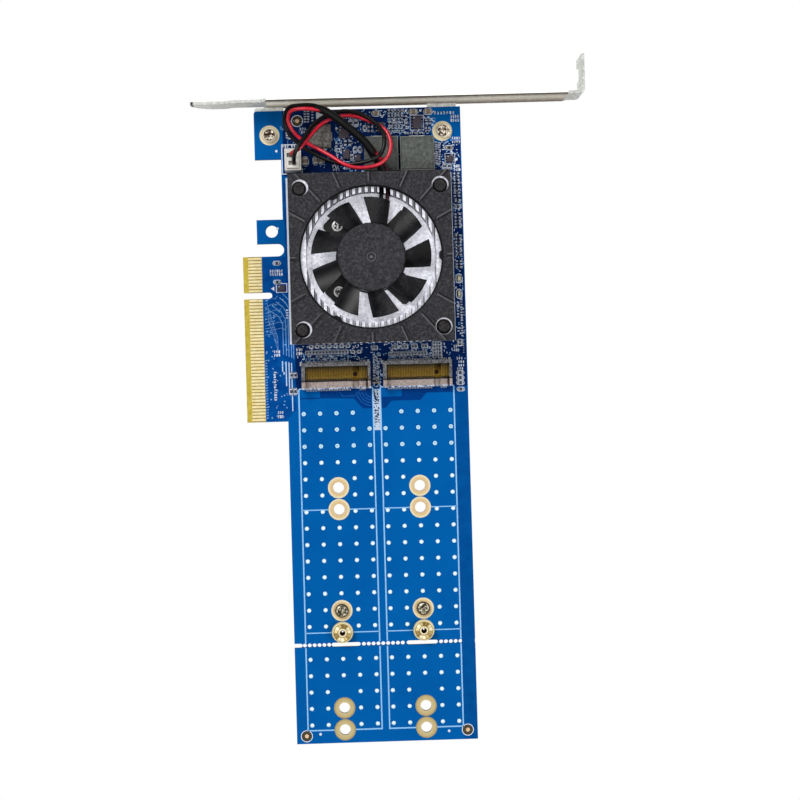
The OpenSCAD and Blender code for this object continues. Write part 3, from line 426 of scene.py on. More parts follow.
def socket_plastic():
    """Grey socket: the lip in front is warm and pale, the body behind it darker and mottled."""
    m = Mat("socket_plastic", rough=0.55, spec=0.2, bevel=0.00008)
    _, y, z = m.xyz()
    fine = m.noise(1500, 3, 0.7)
    foot = m.ramp(m.noise(1900, 2), (0.42, "3c5482"), (0.55, "ced8e8"))
    lip = m.layers(m.ramp(fine, (0.35, "8a7c78"), (0.65, "baaca6")),
                   (m.below(y, 0.00512), foot), (m.band(y, 0.007, 0.0076), "221a0c"))
    body = m.ramp(fine, (0.36, "3a3a3e"), (0.64, "848486"))
    front = m.below(y, LIP_END)
    # Behind the lip, the floor of the window shares the contacts' colour, but for a hollow at the
    # key painted dark as shade, inside a brownish ring
    floor = m.times(m.below(z, 0.0052), m.above(z, 0.0044))
    key = m.nearest([(x + 6.15, 9.15) for x in MODULES])
    hollow = m.layers(gilt(m, y, fine), (m.below(key, 0.00075), "341a06"),
                      (m.band(key, 0.00075, 0.001), "967426"))
    # Painted shade where the socket lies in recesses
    m.paint_recess_shade(m.mix(floor, m.mix(front, body, lip), m.mix(front, hollow, lip)), 0.0008, 0.35)
    m.grain(fine, 0.45, 0.7, 0.00002, 0.6)


def socket_contact_gold():
    """Sprung contacts seen deep in the socket."""
    m = Mat("spring_contact_gold", metal=0.1)
    fine = m.noise(1500, 3, 0.7)
    m.paint(gilt(m, m.xyz()[1], fine))
    m.bump(fine, 0.00001, 0.4)


def bracket_steel():
    """Nickel-plated sheet: a mottled inner face painted with shade and reflection, pale between dark
    lines, and cut edges with painted highlights.
    """
    m = Mat("bracket_nickel", metal=0.2, bevel=0.00012)
    x, y, z = m.xyz()
    up = m.up()
    fine = m.noise(900, 2, 0.75)
    stain = m.noise(760, 2, 0.7, m.stretched(0.35, 1, 1))
    plain = m.ramp(fine, (0.3, "b0b1ac"), (0.7, "e2e4de"))
    # Inner face of the long plate, from its lower edge to its upper one: painted shade and reflection,
    # dark along both edges and pale between, with painted shade deepening towards +X, under a random
    # mottle
    inner_face_painted_light = m.ramp(m.math("DIVIDE", z, BRACKET_HEIGHT), (0, "221c18"), (0.16, "342e28"),
                   (0.3, "7a7468"), (0.48, "b6b2a2"), (0.72, "ccc9bc"),
                   (0.86, "969286"), (0.96, "3c3930"), (1, "282620"))
    inner_face_painted_light = m.layers(inner_face_painted_light, (m.veil(m.linear(x, 6.5, 0.28), 0, 0.6, 0.5), "54443a"),
                     (m.veil(stain, 0.38, 0.68, 0.34), "60564a"),
                     (m.veil(fine, 0.48, 0.72, 0.26), "ece8dc"))
    plate = m.times(m.above(x, PLATE_ENDS[0]), m.below(x, PLATE_ENDS[1]))
    inside = m.times(plate, m.below(m.math("ABSOLUTE", up), FLAT))
    inside = m.times(inside, m.below(y, INNER_FACE + 0.0003))
    # Painted highlight: the cut edge on top is nearly white, with a dark line along the inner side
    top = m.times(plate, m.times(m.above(z, CUT_EDGE), m.above(up, FLAT)))
    inner_dark_line = m.times(top, m.below(y, INNER_FACE + 0.00038))
    edge = m.mix(inner_dark_line, "fcfbf6", "423e34")
    base = m.mix(inside, m.mix(top, plain, edge), inner_face_painted_light)
    # The tip of the narrow tongue is outlined dark
    base = m.mix(m.below(x, -0.0596), base, "282622")
    # Painted shade where the sheet lies in recesses
    m.paint_recess_shade(base, 0.0012, 0.25)
    # Painted light: a glow over the sheet, strongest on the inner face, then on the two mounting tabs
    # under the board, which face up, then on the cut edge
    tab = m.times(m.below(z, TABS_TOP), m.above(up, FLAT))
    m.glow(base, m.plus(m.linear(m.plus(inside, m.times(top, 0.55)), 0.62, 0.06), m.times(tab, 0.45)))
    m.grain(fine, 0.4, 0.65, 0.00004, 0.6)


def ink(name, colour, body):
    """Screen-printed ink or dull tin: slightly uneven cover, matt."""
    m = Mat(name, rough=0.6)
    n = m.noise(2600, 3, 0.65)
    full = linear_colour(colour)
    m.paint(m.ramp(n, (0.35, (*(c * body for c in full[:3]), 1)), (0.65, full)))
    m.bump(n, 0.00001, 0.5)


def mask_over_copper(name, a, b, rough=0.3, grain=1200):
    """Solder mask where copper under it changes its tone."""
    m = Mat(name, rough=rough + 0.15, spec=0.03)
    n = m.noise(grain)
    m.paint(m.ramp(n, (0.3, a), (0.7, b)))
    m.grain(n, rough, rough + 0.12, 0.00001, 0.4)


def gold(name, a, b, rough, metal):
    """Gold plate, between two tones, with painted shade in recesses."""
    m = Mat(name, rough=rough, metal=metal)
    n = m.noise(900, 3, 0.6)
    m.paint_recess_shade(m.ramp(n, (0.3, a), (0.7, b)), 0.0004, 0.5)
    m.grain(n, rough * 0.8, rough * 1.3, 0.00001, 0.4)


def pad_plating():
    """Gold-plated rings: pale rim, peach middle; the farthest pair has dulled to khaki."""
    m = Mat("pad_gold", metal=0.1)
    r = m.times(m.nearest(PADS), 1 / 0.0032)
    new = m.ramp(r, (0.5, "ecdcc4"), (0.62, "e6c492"), (0.74, "eecc94"),
                 (0.84, "f0d69c"), (0.92, "f6eed0"), (1, "f0e2ba"))
    old = m.ramp(r, (0.5, "eedeb8"), (0.6, "d6c28c"), (0.86, "ceba82"),
                 (0.97, "b29e6a"))
    fine = m.noise(1700, 3, 0.65)
    m.paint(m.layers(new, (m.below(m.xyz()[1], -0.09), old),
                     (m.veil(fine, 0.4, 0.7, 0.22), "968054")))
    m.grain(fine, 0.4, 0.62, 0.00001, 0.4)


def standoff_brass():
    """Turned brass: pale rim, a groove, a cone with painted radial highlights streaked from its centre,
    a pale collar, a bore painted dark as shade, and a weak glow of painted light.
    """
    m = Mat("turned_brass", rough=0.35, metal=0.25)
    x, y, _ = m.xyz()
    # Painted highlight: bright and dark streaks by the angle round each standoff stand for the light on
    # its turned face
    left = m.below(x, BETWEEN_MODULES * MM)
    middle = m.linear(left, (MODULES[0] - MODULES[1]) * MM, MODULES[1] * MM)
    angle = m.math("ARCTAN2", m.minus(y, FASTENED_ROW * MM), m.minus(x, middle))
    wave = m.math("SINE", m.linear(angle, 3, 0.6))
    fine_wave = m.times(m.math("SINE", m.times(angle, 11)), 0.45)
    streak = m.ramp(m.linear(m.plus(wave, fine_wave), 0.35, 0.5),
                    (0.2, "846c34"), (0.55, "c4ae6e"), (0.85, "f8eecc"))
    r = m.nearest([(x, FASTENED_ROW) for x in MODULES])
    colour = m.layers(streak, (m.band(r, CONE_RADIUS - 0.0002, CONE_RADIUS), "8c743e"),
                      (m.above(r, CONE_RADIUS), "eee0a8"),
                      (m.below(r, COLLAR_RADIUS), "f0e2ba"),
                      (m.band(r, COLLAR_RADIUS, COLLAR_RADIUS + 0.0002), "70582c"),
                      (m.below(r, BORE_RADIUS), "281608"))
    m.paint(colour)
    # Painted light: a weak glow
    m.glow(colour, 0.2)
    m.grain(m.noise(1800, 3, 0.6), 0.28, 0.5, 0.00001, 0.4)


def pvc(name, edge, body, crest, shaded, rough, spec):
    """Insulation with painted shade and highlight: the colour deepens at the round's edges and pales
    along its crest, by how far the surface faces up.
    """
    m = Mat(name, rough=rough, spec=spec)
    _, y, z = m.xyz()
    # Where the tails run in under the cover they are in shade
    under = m.times(m.below(y, 0.075), m.below(z, 0.0108))
    colour = m.mix(under, m.ramp(m.up(), (0.3, edge), (0.68, body), (0.98, crest)), shaded)
    n = m.noise(500)
    m.paint(m.mix(m.veil(n, 0.35, 0.65, 1), m.mix(0.25, colour, edge), colour))
    m.put("Roughness", m.ramp(m.noise(1600, 2), (0.3, rough - 0.06), (0.7, rough + 0.1)))
    m.bump(n, 0.00003, 0.4)


def screw_head(name, centres, rim, groove, rough, dark, light, deep):
    """Plated screw head: bright rim, a darker groove inside it, painted highlights as bright lobes round
    the cross, painted shade in its recesses and a weak glow of painted light.
    """
    m = Mat(name, rough=rough, metal=0.15, bevel=0.00006)
    r = m.nearest(centres)
    fine = m.noise(2200, 3, 0.6)
    # Painted highlight and shade: inside the rim a patchwork of bright and dark stands for the light on
    # the driver's cross
    lobes = m.ramp(m.noise(1250, 1), (0.46, deep), (0.56, light))
    # Painted shade where the head lies in a recess
    hidden = m.ramp(m.openness(0.0005), (0.45, 1), (0.8, 0))
    colour = m.layers(m.ramp(fine, (0.3, dark), (0.7, light)), (m.below(r, groove), lobes),
                      (m.band(r, groove, rim), deep), (hidden, deep))
    m.paint(colour)
    # Painted light: a weak glow
    m.glow(colour, 0.25)
    m.grain(fine, rough * 0.8, rough * 1.4, 0.00001, 0.5)


for build in (board_material, pad_plating, bracket_steel, standoff_brass, heatsink_aluminium,
              cover_plastic, impeller_plastic, push_pin_nylon, socket_plastic, socket_contact_gold):
    build()
screw_head("yellow_zinc", BRACKET_SCREWS, 0.00178, 0.0016, 0.22, "d6be96", "fff6e2", "3e2412")
screw_head("module_screw", [(x, FASTENED_ROW + NEAR) for x in MODULES], 0.0021, 0.0017, 0.35,
           "544c36", "d6ceb2", "2e281a")
screw_head("fan_screw_zinc", FAN_SCREWS, 0.0012, 0.00098, 0.25, "c4c4c6", "f4f4f2", "242224")
for name, *look in (
        ("contact_gold_plate", "f8de92", "fff6c8", 0.38, 0.15),
        ("pad_rim", "e2d8b4", "f2ecd0", 0.5, 0.2), ("fiducial_gold", "eebe8c", "ffe0b8", 0.4, 0.2)):
    gold(name, *look)
plated("bright_zinc", "b0b2b8", "e8e9ee", 0.25, scale=1500)
plated("spring_wire", "bebec3", "ebebee", 0.2)
plated("core_steel", "5f6166", "8c8e94", 0.4, streak=(1, 1, 12))
plated("winding_copper", "964822", "cd743e", 0.3, (1, 1, 14), 2500, 0.00005)
plated("bearing_bronze", "8c6937", "b48e52", 0.45)
plated("bright_tin", "b4b2ac", "ebe9e4", 0.3, scale=2000)
plated("solder", "b2b4b8", "eeeff2", 0.22, scale=1800, bevel=0)
for name, *look in (
        ("magnet_ferrite", "262424", "3a3838", 3500, 0.6),
        ("small_chip_epoxy", "24202c", "4c424e", 1800, 0.5),
        ("thermal_pad", "a0787e", "be9498", 1800, 0.8),
        ("capacitor_ceramic", "706252", "92806c", 4000, 0.45),
        ("small_ceramic", "161a30", "3e3a48", 3000, 0.45),
        ("resistor_film", "101014", "222228", 4000, 0.4),
        ("lamp_resin", "dedaa0", "f4f1c4", 2500, 0.25),
        ("resistor_ceramic", "b0b0ac", "cecdc8", 3000, 0.5),
        ("fiducial_well", "2e281a", "4a4028", 2000, 0.5)):
    grained(name, *look)
grained("fan_base_plastic", "121213", "222224", 4200, 0.42, bevel=0.0001)
grained("chip_epoxy", "222226", "3a3a40", 5200, 0.5, bevel=0.00005)
grained("white_nylon", "dedad2", "f0ede6", 1500, 0.38, bevel=0.00012)
grained("inductor_powder", "383c3a", "6c706c", 1000, 0.7, spec=0.2, bevel=0.00012)
grained("small_inductor_powder", "2c2c2e", "8c8882", 1500, 0.7, spec=0.2, bevel=0.00012)
for name, *look in (
        ("fan_board_mask", "0e4e28", "186438"), ("trace_mask", "548ccc", "86b4e4"),
        ("via_mask", "6096cd", "9cc4e8"), ("signal_mask", "003e8a", "0256a4", 0.3, 260),
        ("margin_mask", "004c94", "0056a0", 0.3, 260), ("dense_mask", "042054", "082c68", 0.34),
        ("deep_mask", "00367c", "003e88", 0.34), ("faint_trace_mask", "18549c", "3070b6")):
    mask_over_copper(name, *look)
for name, *look in (
        ("pale_tin", "cedef4", 0.6), ("terminal_tin", "f4f0e0", 0.7), ("strip_ink", "cedef4", 0.8),
        ("inductor_ridge", "888c86", 0.7), ("silkscreen_ink", "e8f0fe", 0.9),
        ("silkscreen_line", "92ceff", 0.92), ("hole_lining", "c4f0ff", 0.95),
        ("hole_well", "96bae2", 0.8), ("tail_tin", "dee4ee", 0.6), ("bright_line", "c4e0fc", 0.85)):
    ink(name, *look)
pvc("red_insulation", "540210", "c40e26", "e42840", "3e0a1a", 0.26, 0.5)
pvc("black_insulation", "020203", "060608", "1a181a", "020203", 0.24, 0.22)
pvc("heat_shrink", "020203", "080809", "141416", "020203", 0.36, 0.2)

NODES_OF = {
    "board_laminate": "pcb", "contact_gold_plate": "edge_contacts", "pad_gold": "solder_pads",
    "bracket_nickel": "bracket", "yellow_zinc": "bracket_screws", "thermal_pad": "thermal_pad",
    "chip_epoxy": "switch_chip regulator_chips", "heatsink_aluminium": "heatsink",
    "black_nylon": "push_pins", "spring_wire": "push_pin_springs", "cover_plastic": "fan_cover",
    "fan_base_plastic": "fan_base", "fan_screw_zinc": "fan_base_screws",
    "fan_board_mask": "fan_board", "core_steel": "stator_core rotor_yoke",
    "winding_copper": "stator_coils", "bearing_bronze": "fan_bearing",
    "impeller_plastic": "impeller", "bright_zinc": "fan_shaft standoff_nuts module_screw_nuts",
    "magnet_ferrite": "rotor_magnet", "socket_plastic": "socket_left socket_right",
    "spring_contact_gold": "socket_contacts_left socket_contacts_right",
    "turned_brass": "standoffs", "module_screw": "module_screws",
    "inductor_powder": "power_inductors", "small_inductor_powder": "filter_inductor",
    "capacitor_ceramic": "ceramic_capacitors", "resistor_film": "chip_resistors",
    "lamp_resin": "status_lamps", "white_nylon": "fan_header fan_plug",
    "bright_tin": "fan_header_pins plug_terminals", "black_insulation": "lead_black",
    "red_insulation": "lead_red", "heat_shrink": "lead_sleeve",
}
for material, names in NODES_OF.items():
    for name in names.split():
        for slot in nodes[name].material_slots:
            slot.material = MATS[material].m


# ---- leads
# Middle of the pair from the plug to the sleeve's start, in metres, the direction in
# which the black wire lies beside it (0 left, 90 above, 180 right, 270 below), and how
# far each wire's centre lies from that middle
LEAD = [
    (-0.0271, 0.0791, 0.016, 62, 0.00075), (-0.025, 0.082, 0.0144, 48, 0.00075),
    (-0.023, 0.0847, 0.0123, 25, 0.00075), (-0.0205, 0.0872, 0.0105, 15, 0.00075),
    (-0.0172, 0.0889, 0.0095, 12, 0.00075), (-0.0135, 0.0897, 0.0092, 32, 0.00075),
    (-0.0098, 0.0893, 0.0094, 45, 0.00075), (-0.0065, 0.0879, 0.0098, 62, 0.00075),
    (-0.0034, 0.086, 0.0103, 95, 0.00075), (-0.0009, 0.0833, 0.0108, 140, 0.0008),
    (-0.0002, 0.0797, 0.0115, 175, 0.001), (-0.0011, 0.0765, 0.0121, 180, 0.00115),
    (-0.0033, 0.0744, 0.0126, 180, 0.0011), (-0.0066, 0.0734, 0.0125, 186, 0.0009),
    (-0.0103, 0.0732, 0.0122, 214, 0.0008), (-0.0141, 0.0739, 0.0115, 270, 0.0008),
    (-0.0175, 0.0755, 0.0106, 326, 0.0008), (-0.0209, 0.0774, 0.0097, 352, 0.0009),
    (-0.0242, 0.0793, 0.0092, 360, 0.0009), (-0.0274, 0.0815, 0.0093, 350, 0.0008),
    (-0.0299, 0.0843, 0.0099, 328, 0.0008), (-0.0312, 0.0877, 0.0114, 320, 0.0008),
    (-0.0299, 0.0908, 0.0135, 326, 0.0008), (-0.0261, 0.0913, 0.0148, 322, 0.00075),
    (-0.0222, 0.091, 0.0149, 326, 0.00075),
]
SLEEVE = [
    (-0.0224, 0.091, 0.0149), (-0.0194, 0.0901, 0.0144), (-0.0164, 0.0883, 0.0134),
    (-0.0134, 0.086, 0.0124), (-0.0104, 0.0836, 0.0115), (-0.0073, 0.0807, 0.0106),
    (-0.0045, 0.0769, 0.0098),
]
BLACK_RISE = [
    (-0.02915, 0.0745, 0.0119), (-0.02915, 0.0745, 0.0133), (-0.02905, 0.0755, 0.0152),
    (-0.0287, 0.077, 0.0166),
]
RED_RISE = [(-0.0299, 0.0769, 0.0119), (-0.0299, 0.0769, 0.0132), (-0.0294, 0.0774, 0.0145)]
BLACK_TAIL = [
    (-0.0051, 0.0763, 0.0097), (-0.0034, 0.0736, 0.0099), (-0.0025, 0.071, 0.0098),
    (-0.00245, 0.0663, 0.0093), (-0.0028, 0.0612, 0.0089), (-0.0034, 0.0555, 0.0089),
]
RED_TAIL = [
    (-0.0039, 0.0772, 0.0097), (-0.002, 0.0746, 0.0099), (-0.0006, 0.0718, 0.0098),
    (-0.0004, 0.067, 0.0093), (-0.0009, 0.0614, 0.0089), (-0.0018, 0.0548, 0.0089),
]
WIRE_D = 0.0013
SLEEVE_D = 0.0025
SLEEVE_GAP = 0.00052


def beside(route, side):
    """One wire of the pair, offset from the pair's middle line by its turn angles."""
    out = []
    last = len(route) - 1
    for i, p in enumerate(route):
        a, b = route[max(0, i - 1)], route[min(last, i + 1)]
        left = Vector((a[1] - b[1], b[0] - a[0], 0)).normalized()
        turn = math.radians(p[3])
        out.append(Vector(p[:3]) + side * p[4] * (math.cos(turn) * left
                                                 + Vector((0, 0, math.sin(turn)))))
    return out


def smooth(points, steps=4):
    """Catmull-Rom line through the points."""
    p = [Vector(q[:3]) for q in points]
    p = [2 * p[0] - p[1]] + p + [2 * p[-1] - p[-2]]
    out = []
    for i in range(1, len(p) - 2):
        for k in range(steps):
            t = k / steps
            out.append(0.5 * (2 * p[i] + (p[i + 1] - p[i - 1]) * t
                              + (2 * p[i - 1] - 5 * p[i] + 4 * p[i + 1] - p[i + 2]) * t * t
                              + (3 * p[i] - p[i - 1] - 3 * p[i + 1] + p[i + 2]) * t ** 3))
    out.append(p[-2])
    return out


def tube(name, points, radius, material, taper=None):
    """A round tube along points in metres, as a curve of one open spline."""
    data = bpy.data.curves.new(name, "CURVE")
    data.dimensions = "3D"
    data.bevel_depth = radius
    data.bevel_resolution = 4
    data.use_fill_caps = True
    line = data.splines.new("POLY")
    line.points.add(len(points) - 1)
    for i, (q, p) in enumerate(zip(line.points, points)):
        q.co = (*p, 1)
        q.radius = taper(i / (len(points) - 1)) if taper else 1
    line.use_smooth = True
    data.materials.append(MATS[material].m)
    return on_card(name, data)


# Inside the sleeve the wires go on twisting, out of sight
hidden = [(*p, turn, SLEEVE_GAP) for p, turn in zip(SLEEVE[1:-1], (300, 270, 240, 210, 190))]
lines = {}
for side, rise, tail in ((1, BLACK_RISE, BLACK_TAIL), (-1, RED_RISE, RED_TAIL)):
    lines[side] = smooth(rise + beside(LEAD, side) + beside(hidden, side) + tail)
black_wire = tube("black_wire", lines[1], WIRE_D / 2, "black_insulation")
red_wire = tube("red_wire", lines[-1], WIRE_D / 2, "red_insulation")
# Heat-shrink: drawn in a little at both ends and faintly uneven along its length
sleeve = tube("heat_sleeve", smooth(SLEEVE), SLEEVE_D / 2, "heat_shrink",
              lambda t: 1 - 0.1 * math.exp(-t * 18) - 0.1 * math.exp(-(1 - t) * 18)
              + 0.015 * math.sin(t * 21))
for wire, node, line, extra in ((black_wire, "lead_black", lines[1], [sleeve]),
                                (red_wire, "lead_red", lines[-1], [])):
    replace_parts(wire, node)
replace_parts(sleeve, "lead_sleeve")


# ---- flat artwork
def mesh_piece(name, points, faces, materials, slots=None):
    """A mesh on the card; slots holds each face's place in the list of materials."""
    mesh = bpy.data.meshes.new(name)
    mesh.from_pydata(points, [], faces)
    for material in materials:
        mesh.materials.append(MATS[material].m)
    if slots:
        mesh.polygons.foreach_set("material_index", slots)
    return on_card(name, mesh)


class Flat:
    """Gathers flat shapes in mm and makes one thin raised mesh of them."""

    def __init__(s, lift, z=TOP):
        s.v, s.f, s.z, s.lift = [], [], z, lift

    def poly(s, pts):
        n, k = len(pts), len(s.v)
        s.v += [(x * MM, y * MM, (s.z + s.lift) * MM) for x, y in pts]
        s.v += [(x * MM, y * MM, (s.z - 0.002) * MM) for x, y in pts]
        s.f.append(tuple(range(k, k + n)))
        s.f += [(k + i, k + n + i, k + n + (i + 1) % n, k + (i + 1) % n) for i in range(n)]
        return s

    def rect(s, x0, y0, x1, y1):
        return s.poly([(x0, y0), (x1, y0), (x1, y1), (x0, y1)])

    def line(s, pts, w):
        """A polyline of width w with joined corners."""
        p = [Vector(q) for q in pts]
        last = len(p) - 1
        sides = []
        for i in range(len(p)):
            d0 = p[i] - p[max(0, i - 1)]
            d1 = p[min(last, i + 1)] - p[i]
            d0 = (d0 if d0.length else d1).normalized()
            d1 = (d1 if d1.length else d0).normalized()
            n = Vector((-(d0 + d1).y, (d0 + d1).x)).normalized()
            k = max(0.5, n.dot(Vector((-d0.y, d0.x))))
            sides.append((p[i] + n * w / 2 / k, p[i] - n * w / 2 / k))
        for (a, b), (c, d) in zip(sides, sides[1:]):
            s.poly([b, d, c, a])
        return s

    def frame(s, x0, y0, x1, y1, w):
        """A rectangle's outline of width w."""
        s.rect(x0, y0, x1, y0 + w).rect(x0, y1 - w, x1, y1)
        return s.rect(x0, y0 + w, x0 + w, y1 - w).rect(x1 - w, y0 + w, x1, y1 - w)

    def disc(s, x, y, r, n=20):
        return s.poly([(x + r * math.cos(2 * math.pi * i / n),
                        y + r * math.sin(2 * math.pi * i / n)) for i in range(n)])

    def ring(s, x, y, r0, r1, n=40):
        turns = [2 * math.pi * i / n for i in range(n + 1)]
        for a, b in zip(turns, turns[1:]):
            s.poly([(x + r * math.cos(t), y + r * math.sin(t))
                    for r, t in ((r0, a), (r1, a), (r1, b), (r0, b))])
        return s

    def make(s, name, material):
        return mesh_piece(name, s.v, s.f, [material])


class Solids:
    """Gathers small chamfered solids in mm, each face with its own material."""

    def __init__(s):
        s.v, s.f, s.mi, s.mats = [], [], [], []

    def use(s, key):
        """The place of a material in the piece's list, added to it where it is new."""
        if key not in s.mats:
            s.mats.append(key)
        return s.mats.index(key)

    def add(s, pts, faces, key):
        k = len(s.v)
        s.v += [(x * MM, y * MM, z * MM) for x, y, z in pts]
        s.f += [tuple(k + i for i in f) for f in faces]
        s.mi += [s.use(key)] * len(faces)

    def box(s, x0, y0, z0, x1, y1, z1, key, c):
        """A box whose top edges are chamfered by c; x0, x1 and y0, y1 come in either order."""
        (x0, x1), (y0, y1) = sorted((x0, x1)), sorted((y0, y1))

        def ring(z, i):
            return [(x0 + i, y0 + i, z), (x1 - i, y0 + i, z), (x1 - i, y1 - i, z),
                    (x0 + i, y1 - i, z)]
        pts = ring(z0, 0) + ring(z1 - c, 0) + ring(z1, c)
        faces = [(3, 2, 1, 0), (8, 9, 10, 11)]
        for k in (0, 4):
            faces += [(k + i, k + (i + 1) % 4, k + 4 + (i + 1) % 4, k + 4 + i) for i in range(4)]
        s.add(pts, faces, key)

    def fillet(s, x, y, z, along, way, width, run, rise):
        """A wedge of solder at an end face: along is 0 for X, 1 for Y; way is 1 or -1."""
        pts = []
        for side in (-width / 2, width / 2):
            for a, b in ((0, 0), (run, 0), (run * 0.3, rise * 0.35), (0, rise)):
                p = [x, y, z + b]
                p[along] += way * a
                p[1 - along] += side
                pts.append(tuple(p))
        faces = [(0, 1, 2, 3), (7, 6, 5, 4)]
        faces += [(i, i + 4, (i + 1) % 4 + 4, (i + 1) % 4) for i in range(4)]
        if (along == 0) != (way == 1):
            faces = [tuple(reversed(f)) for f in faces]
        s.add(pts, faces, "solder")

    def chip_part(s, x0, y0, z0, x1, y1, z1, body, top=None, ends="bright_tin"):
        """A two-ended part: ceramic body, tinned ends, solder and its two pads."""
        along = 0 if x1 - x0 > y1 - y0 else 1
        # Worked in u along the part and v across it, and turned back for each box
        u0, v0, u1, v1 = (y0, x0, y1, x1) if along else (x0, y0, x1, y1)

        def block(ua, va, za, ub, vb, zb, key, c):
            low, high = ((va, ua), (vb, ub)) if along else ((ua, va), (ub, vb))
            s.box(*low, za, *high, zb, key, c)

        end = 0.26 * (u1 - u0)
        a, b = u0 + end * 0.9, u1 - end * 0.9
        block(a, v0 + 0.02, z0, b, v1 - 0.02, z1 - 0.02, body, 0.04)
        if top:
            block(a, v0 + 0.05, z1 - 0.03, b, v1 - 0.05, z1 - 0.005, top, 0.01)
        v = (v0 + v1) / 2
        for u, way in ((u0, -1), (u1, 1)):
            inner, outer = u - way * end, u + way * 0.3
            block(u, v0, z0, inner, v1, z1, ends, 0.06)
            tip = (v, u) if along else (u, v)
            s.fillet(*tip, z0 + 0.02, along, way, (v1 - v0) * 0.9, 0.28, (z1 - z0) * 0.7)
            block(inner - way * 0.03, v0 - 0.03, z0 - 0.01, outer + way * 0.03, v1 + 0.03,
                  z0 + 0.03, "solder", 0.01)

    def make(s, name):
        return mesh_piece(name, s.v, s.f, s.mats, s.mi)


def loose_boxes(node):
    """The boxes in mm of a node's separate solids."""
    mesh = nodes[node].data
    # Faces made apart share corners only by place, so a corner is known by its place
    places = [tuple(round(c, 7) for c in v.co) for v in mesh.vertices]
    corners = dict(zip(places, (v.co / MM for v in mesh.vertices)))
    groups = []
    for face in mesh.polygons:
        group = {places[i] for i in face.vertices}
        apart = [g for g in groups if not g & group]
        groups = apart + [group.union(*(g for g in groups if g & group))]
    return sorted([side(corners[p][k] for p in g) for side in (min, max) for k in range(3)]
                  for g in groups)


# ---- pads and copper areas
rims = Flat(0.012, TOP + 0.05)
for x, y in BRACKET_SCREWS:
    rims.ring(x, y, 2.85, 3.08)
rims.make("pad_rims", "pad_rim")

dense = Flat(0.008)
dense.poly([(-32.6, 71.2), (22.5, 71.2), (22.5, 80.8), (13.5, 80.8), (13.5, 91.4), (-32.6, 91.4)])
dense.rect(19.2, 4.6, 22.5, 71.2).rect(-30.6, 4.6, 19.2, 18.9).make("dense_copper", "dense_mask")
Flat(0.006).poly([
    (-40, -4.7), (-33.9, -4.7), (-33.2, -4), (-31.5, -2.2), (-30.6, -1.8), (-30.6, 70),
    (-32.8, 70), (-32.8, 46.2), (-35.5, 46.2), (-40, 45.8), (-40, 35.2), (-37.2, 35.2),
    (-37.2, 33.1), (-40, 33.1)]).make("signal_copper", "signal_mask")
deep = Flat(0.012)
deep.poly([(-23.2, 4.6), (-23.2, 1.9), (-12.8, 1.6), (-10, -1.6), (-7, -1.6), (-7, 4.6)])
deep.poly([(2.1, 4.6), (2.1, 0.6), (8, 0.6), (9.8, 2.8), (18.2, 2.8), (18.2, 4.6)])
deep.poly([(-4.4, 1.9), (-4.4, -1.6), (-3, -1.6), (-1, 0.6), (2.1, 0.6), (2.1, 1.9)])
deep.poly([(-29.6, 2.2), (-29.6, 1.8), (-23.2, 1.8), (-23.2, 2.2)]).make("deep_copper", "deep_mask")

# The small cooling holes are lined with pale metal that narrows them at the face
HOLE_PITCH = 5.08
FIRST_ROW_Y = -2.8
ROWS = 20
BREAK_ROW = 14                  # has no holes: the board breaks off there
FINE_ROWS = 3                   # the first rows have the narrowest openings
CLEAR_OF_PADS = 5.06            # no cooling hole nearer to a module hole than this
lining, well, halo = Flat(0.004), Flat(0.002), Flat(0.003)
for module in MODULES:
    for column in range(-2, 3):
        for row in range(ROWS):
            x, y = module + HOLE_PITCH * column, FIRST_ROW_Y - HOLE_PITCH * row
            inner_corner = row == 0 and abs(x - BETWEEN_MODULES) < 4
            near_pad = min(math.hypot(x - px, y - py) for px, py in PADS) < CLEAR_OF_PADS
            if row == BREAK_ROW or inner_corner or near_pad:
                continue
            lining.ring(x, y, 0.3 if row < FINE_ROWS else 0.4, 0.66, 16)
            if row < FINE_ROWS:
                well.ring(x, y, 0.12, 0.3, 16)
            halo.ring(x, y, 0.66, 0.9, 16)
lining.make("hole_linings", "hole_lining")
well.make("hole_wells", "hole_well")
halo.make("hole_halos", "margin_mask")
Flat(0.006).rect(18.6, -105, 22.7, 4.6).make("margin_copper", "margin_mask")

# ---- traces and vias
traces, bundle, faint = Flat(0.014), Flat(0.016), Flat(0.016)
for i, x in enumerate((-34.2, -33.3, -32.5, -31.7, -31.05)):
    # Parallel traces run beside the heatsink and bend away towards the contacts
    high = 28.5 + 1.3 * i
    traces.line([(x, 15.8 - 0.35 * i), (x, high - 3), (x - 1.4, high - 0.6),
                 (x - 4.2 + 0.3 * i, high + 1.2)], 0.24)
for x, low, high in ((-34.6, 10.5, 13.8), (-33.5, 6, 13.6), (-32.6, 4.2, 13.4),
                     (-31.8, -1.8, 13.2), (-34.2, 9.6, 10.4)):
    bundle.line([(x, low), (x, high)], 0.34)
for i in range(6):
    # Length-matched bends between the contacts and the first bundle
    x0, y0 = -39.6, 31.6 - 1.9 * i
    xa = -38.6 + 0.55 * i
    traces.line([(x0, y0), (xa - 0.3, y0 + 0.4), (xa, y0 - 1.2), (xa, y0 - 5.4),
                 (xa + 0.5, y0 - 6.2)], 0.13)
    traces.line([(x0, y0 + 0.9), (xa + 1.2, y0 + 2), (xa + 2.2, y0 + 1.5),
                 (xa + 3, y0 + 2.5)], 0.13)
for i in range(22):
    y = 14 - 0.85 * i
    traces.line([(-40, y), (-39.3, y + 0.2)], 0.3)
for i in range(4):
    # Arcs in the deep area, under the sockets' inner corners
    r = 2.2 + 0.9 * i
    faint.line([(-7 - r * math.cos(a), 3.9 - r * math.sin(a) * 0.95)
                for a in (0.1, 0.4, 0.7, 1, 1.3, 1.55)], 0.16)
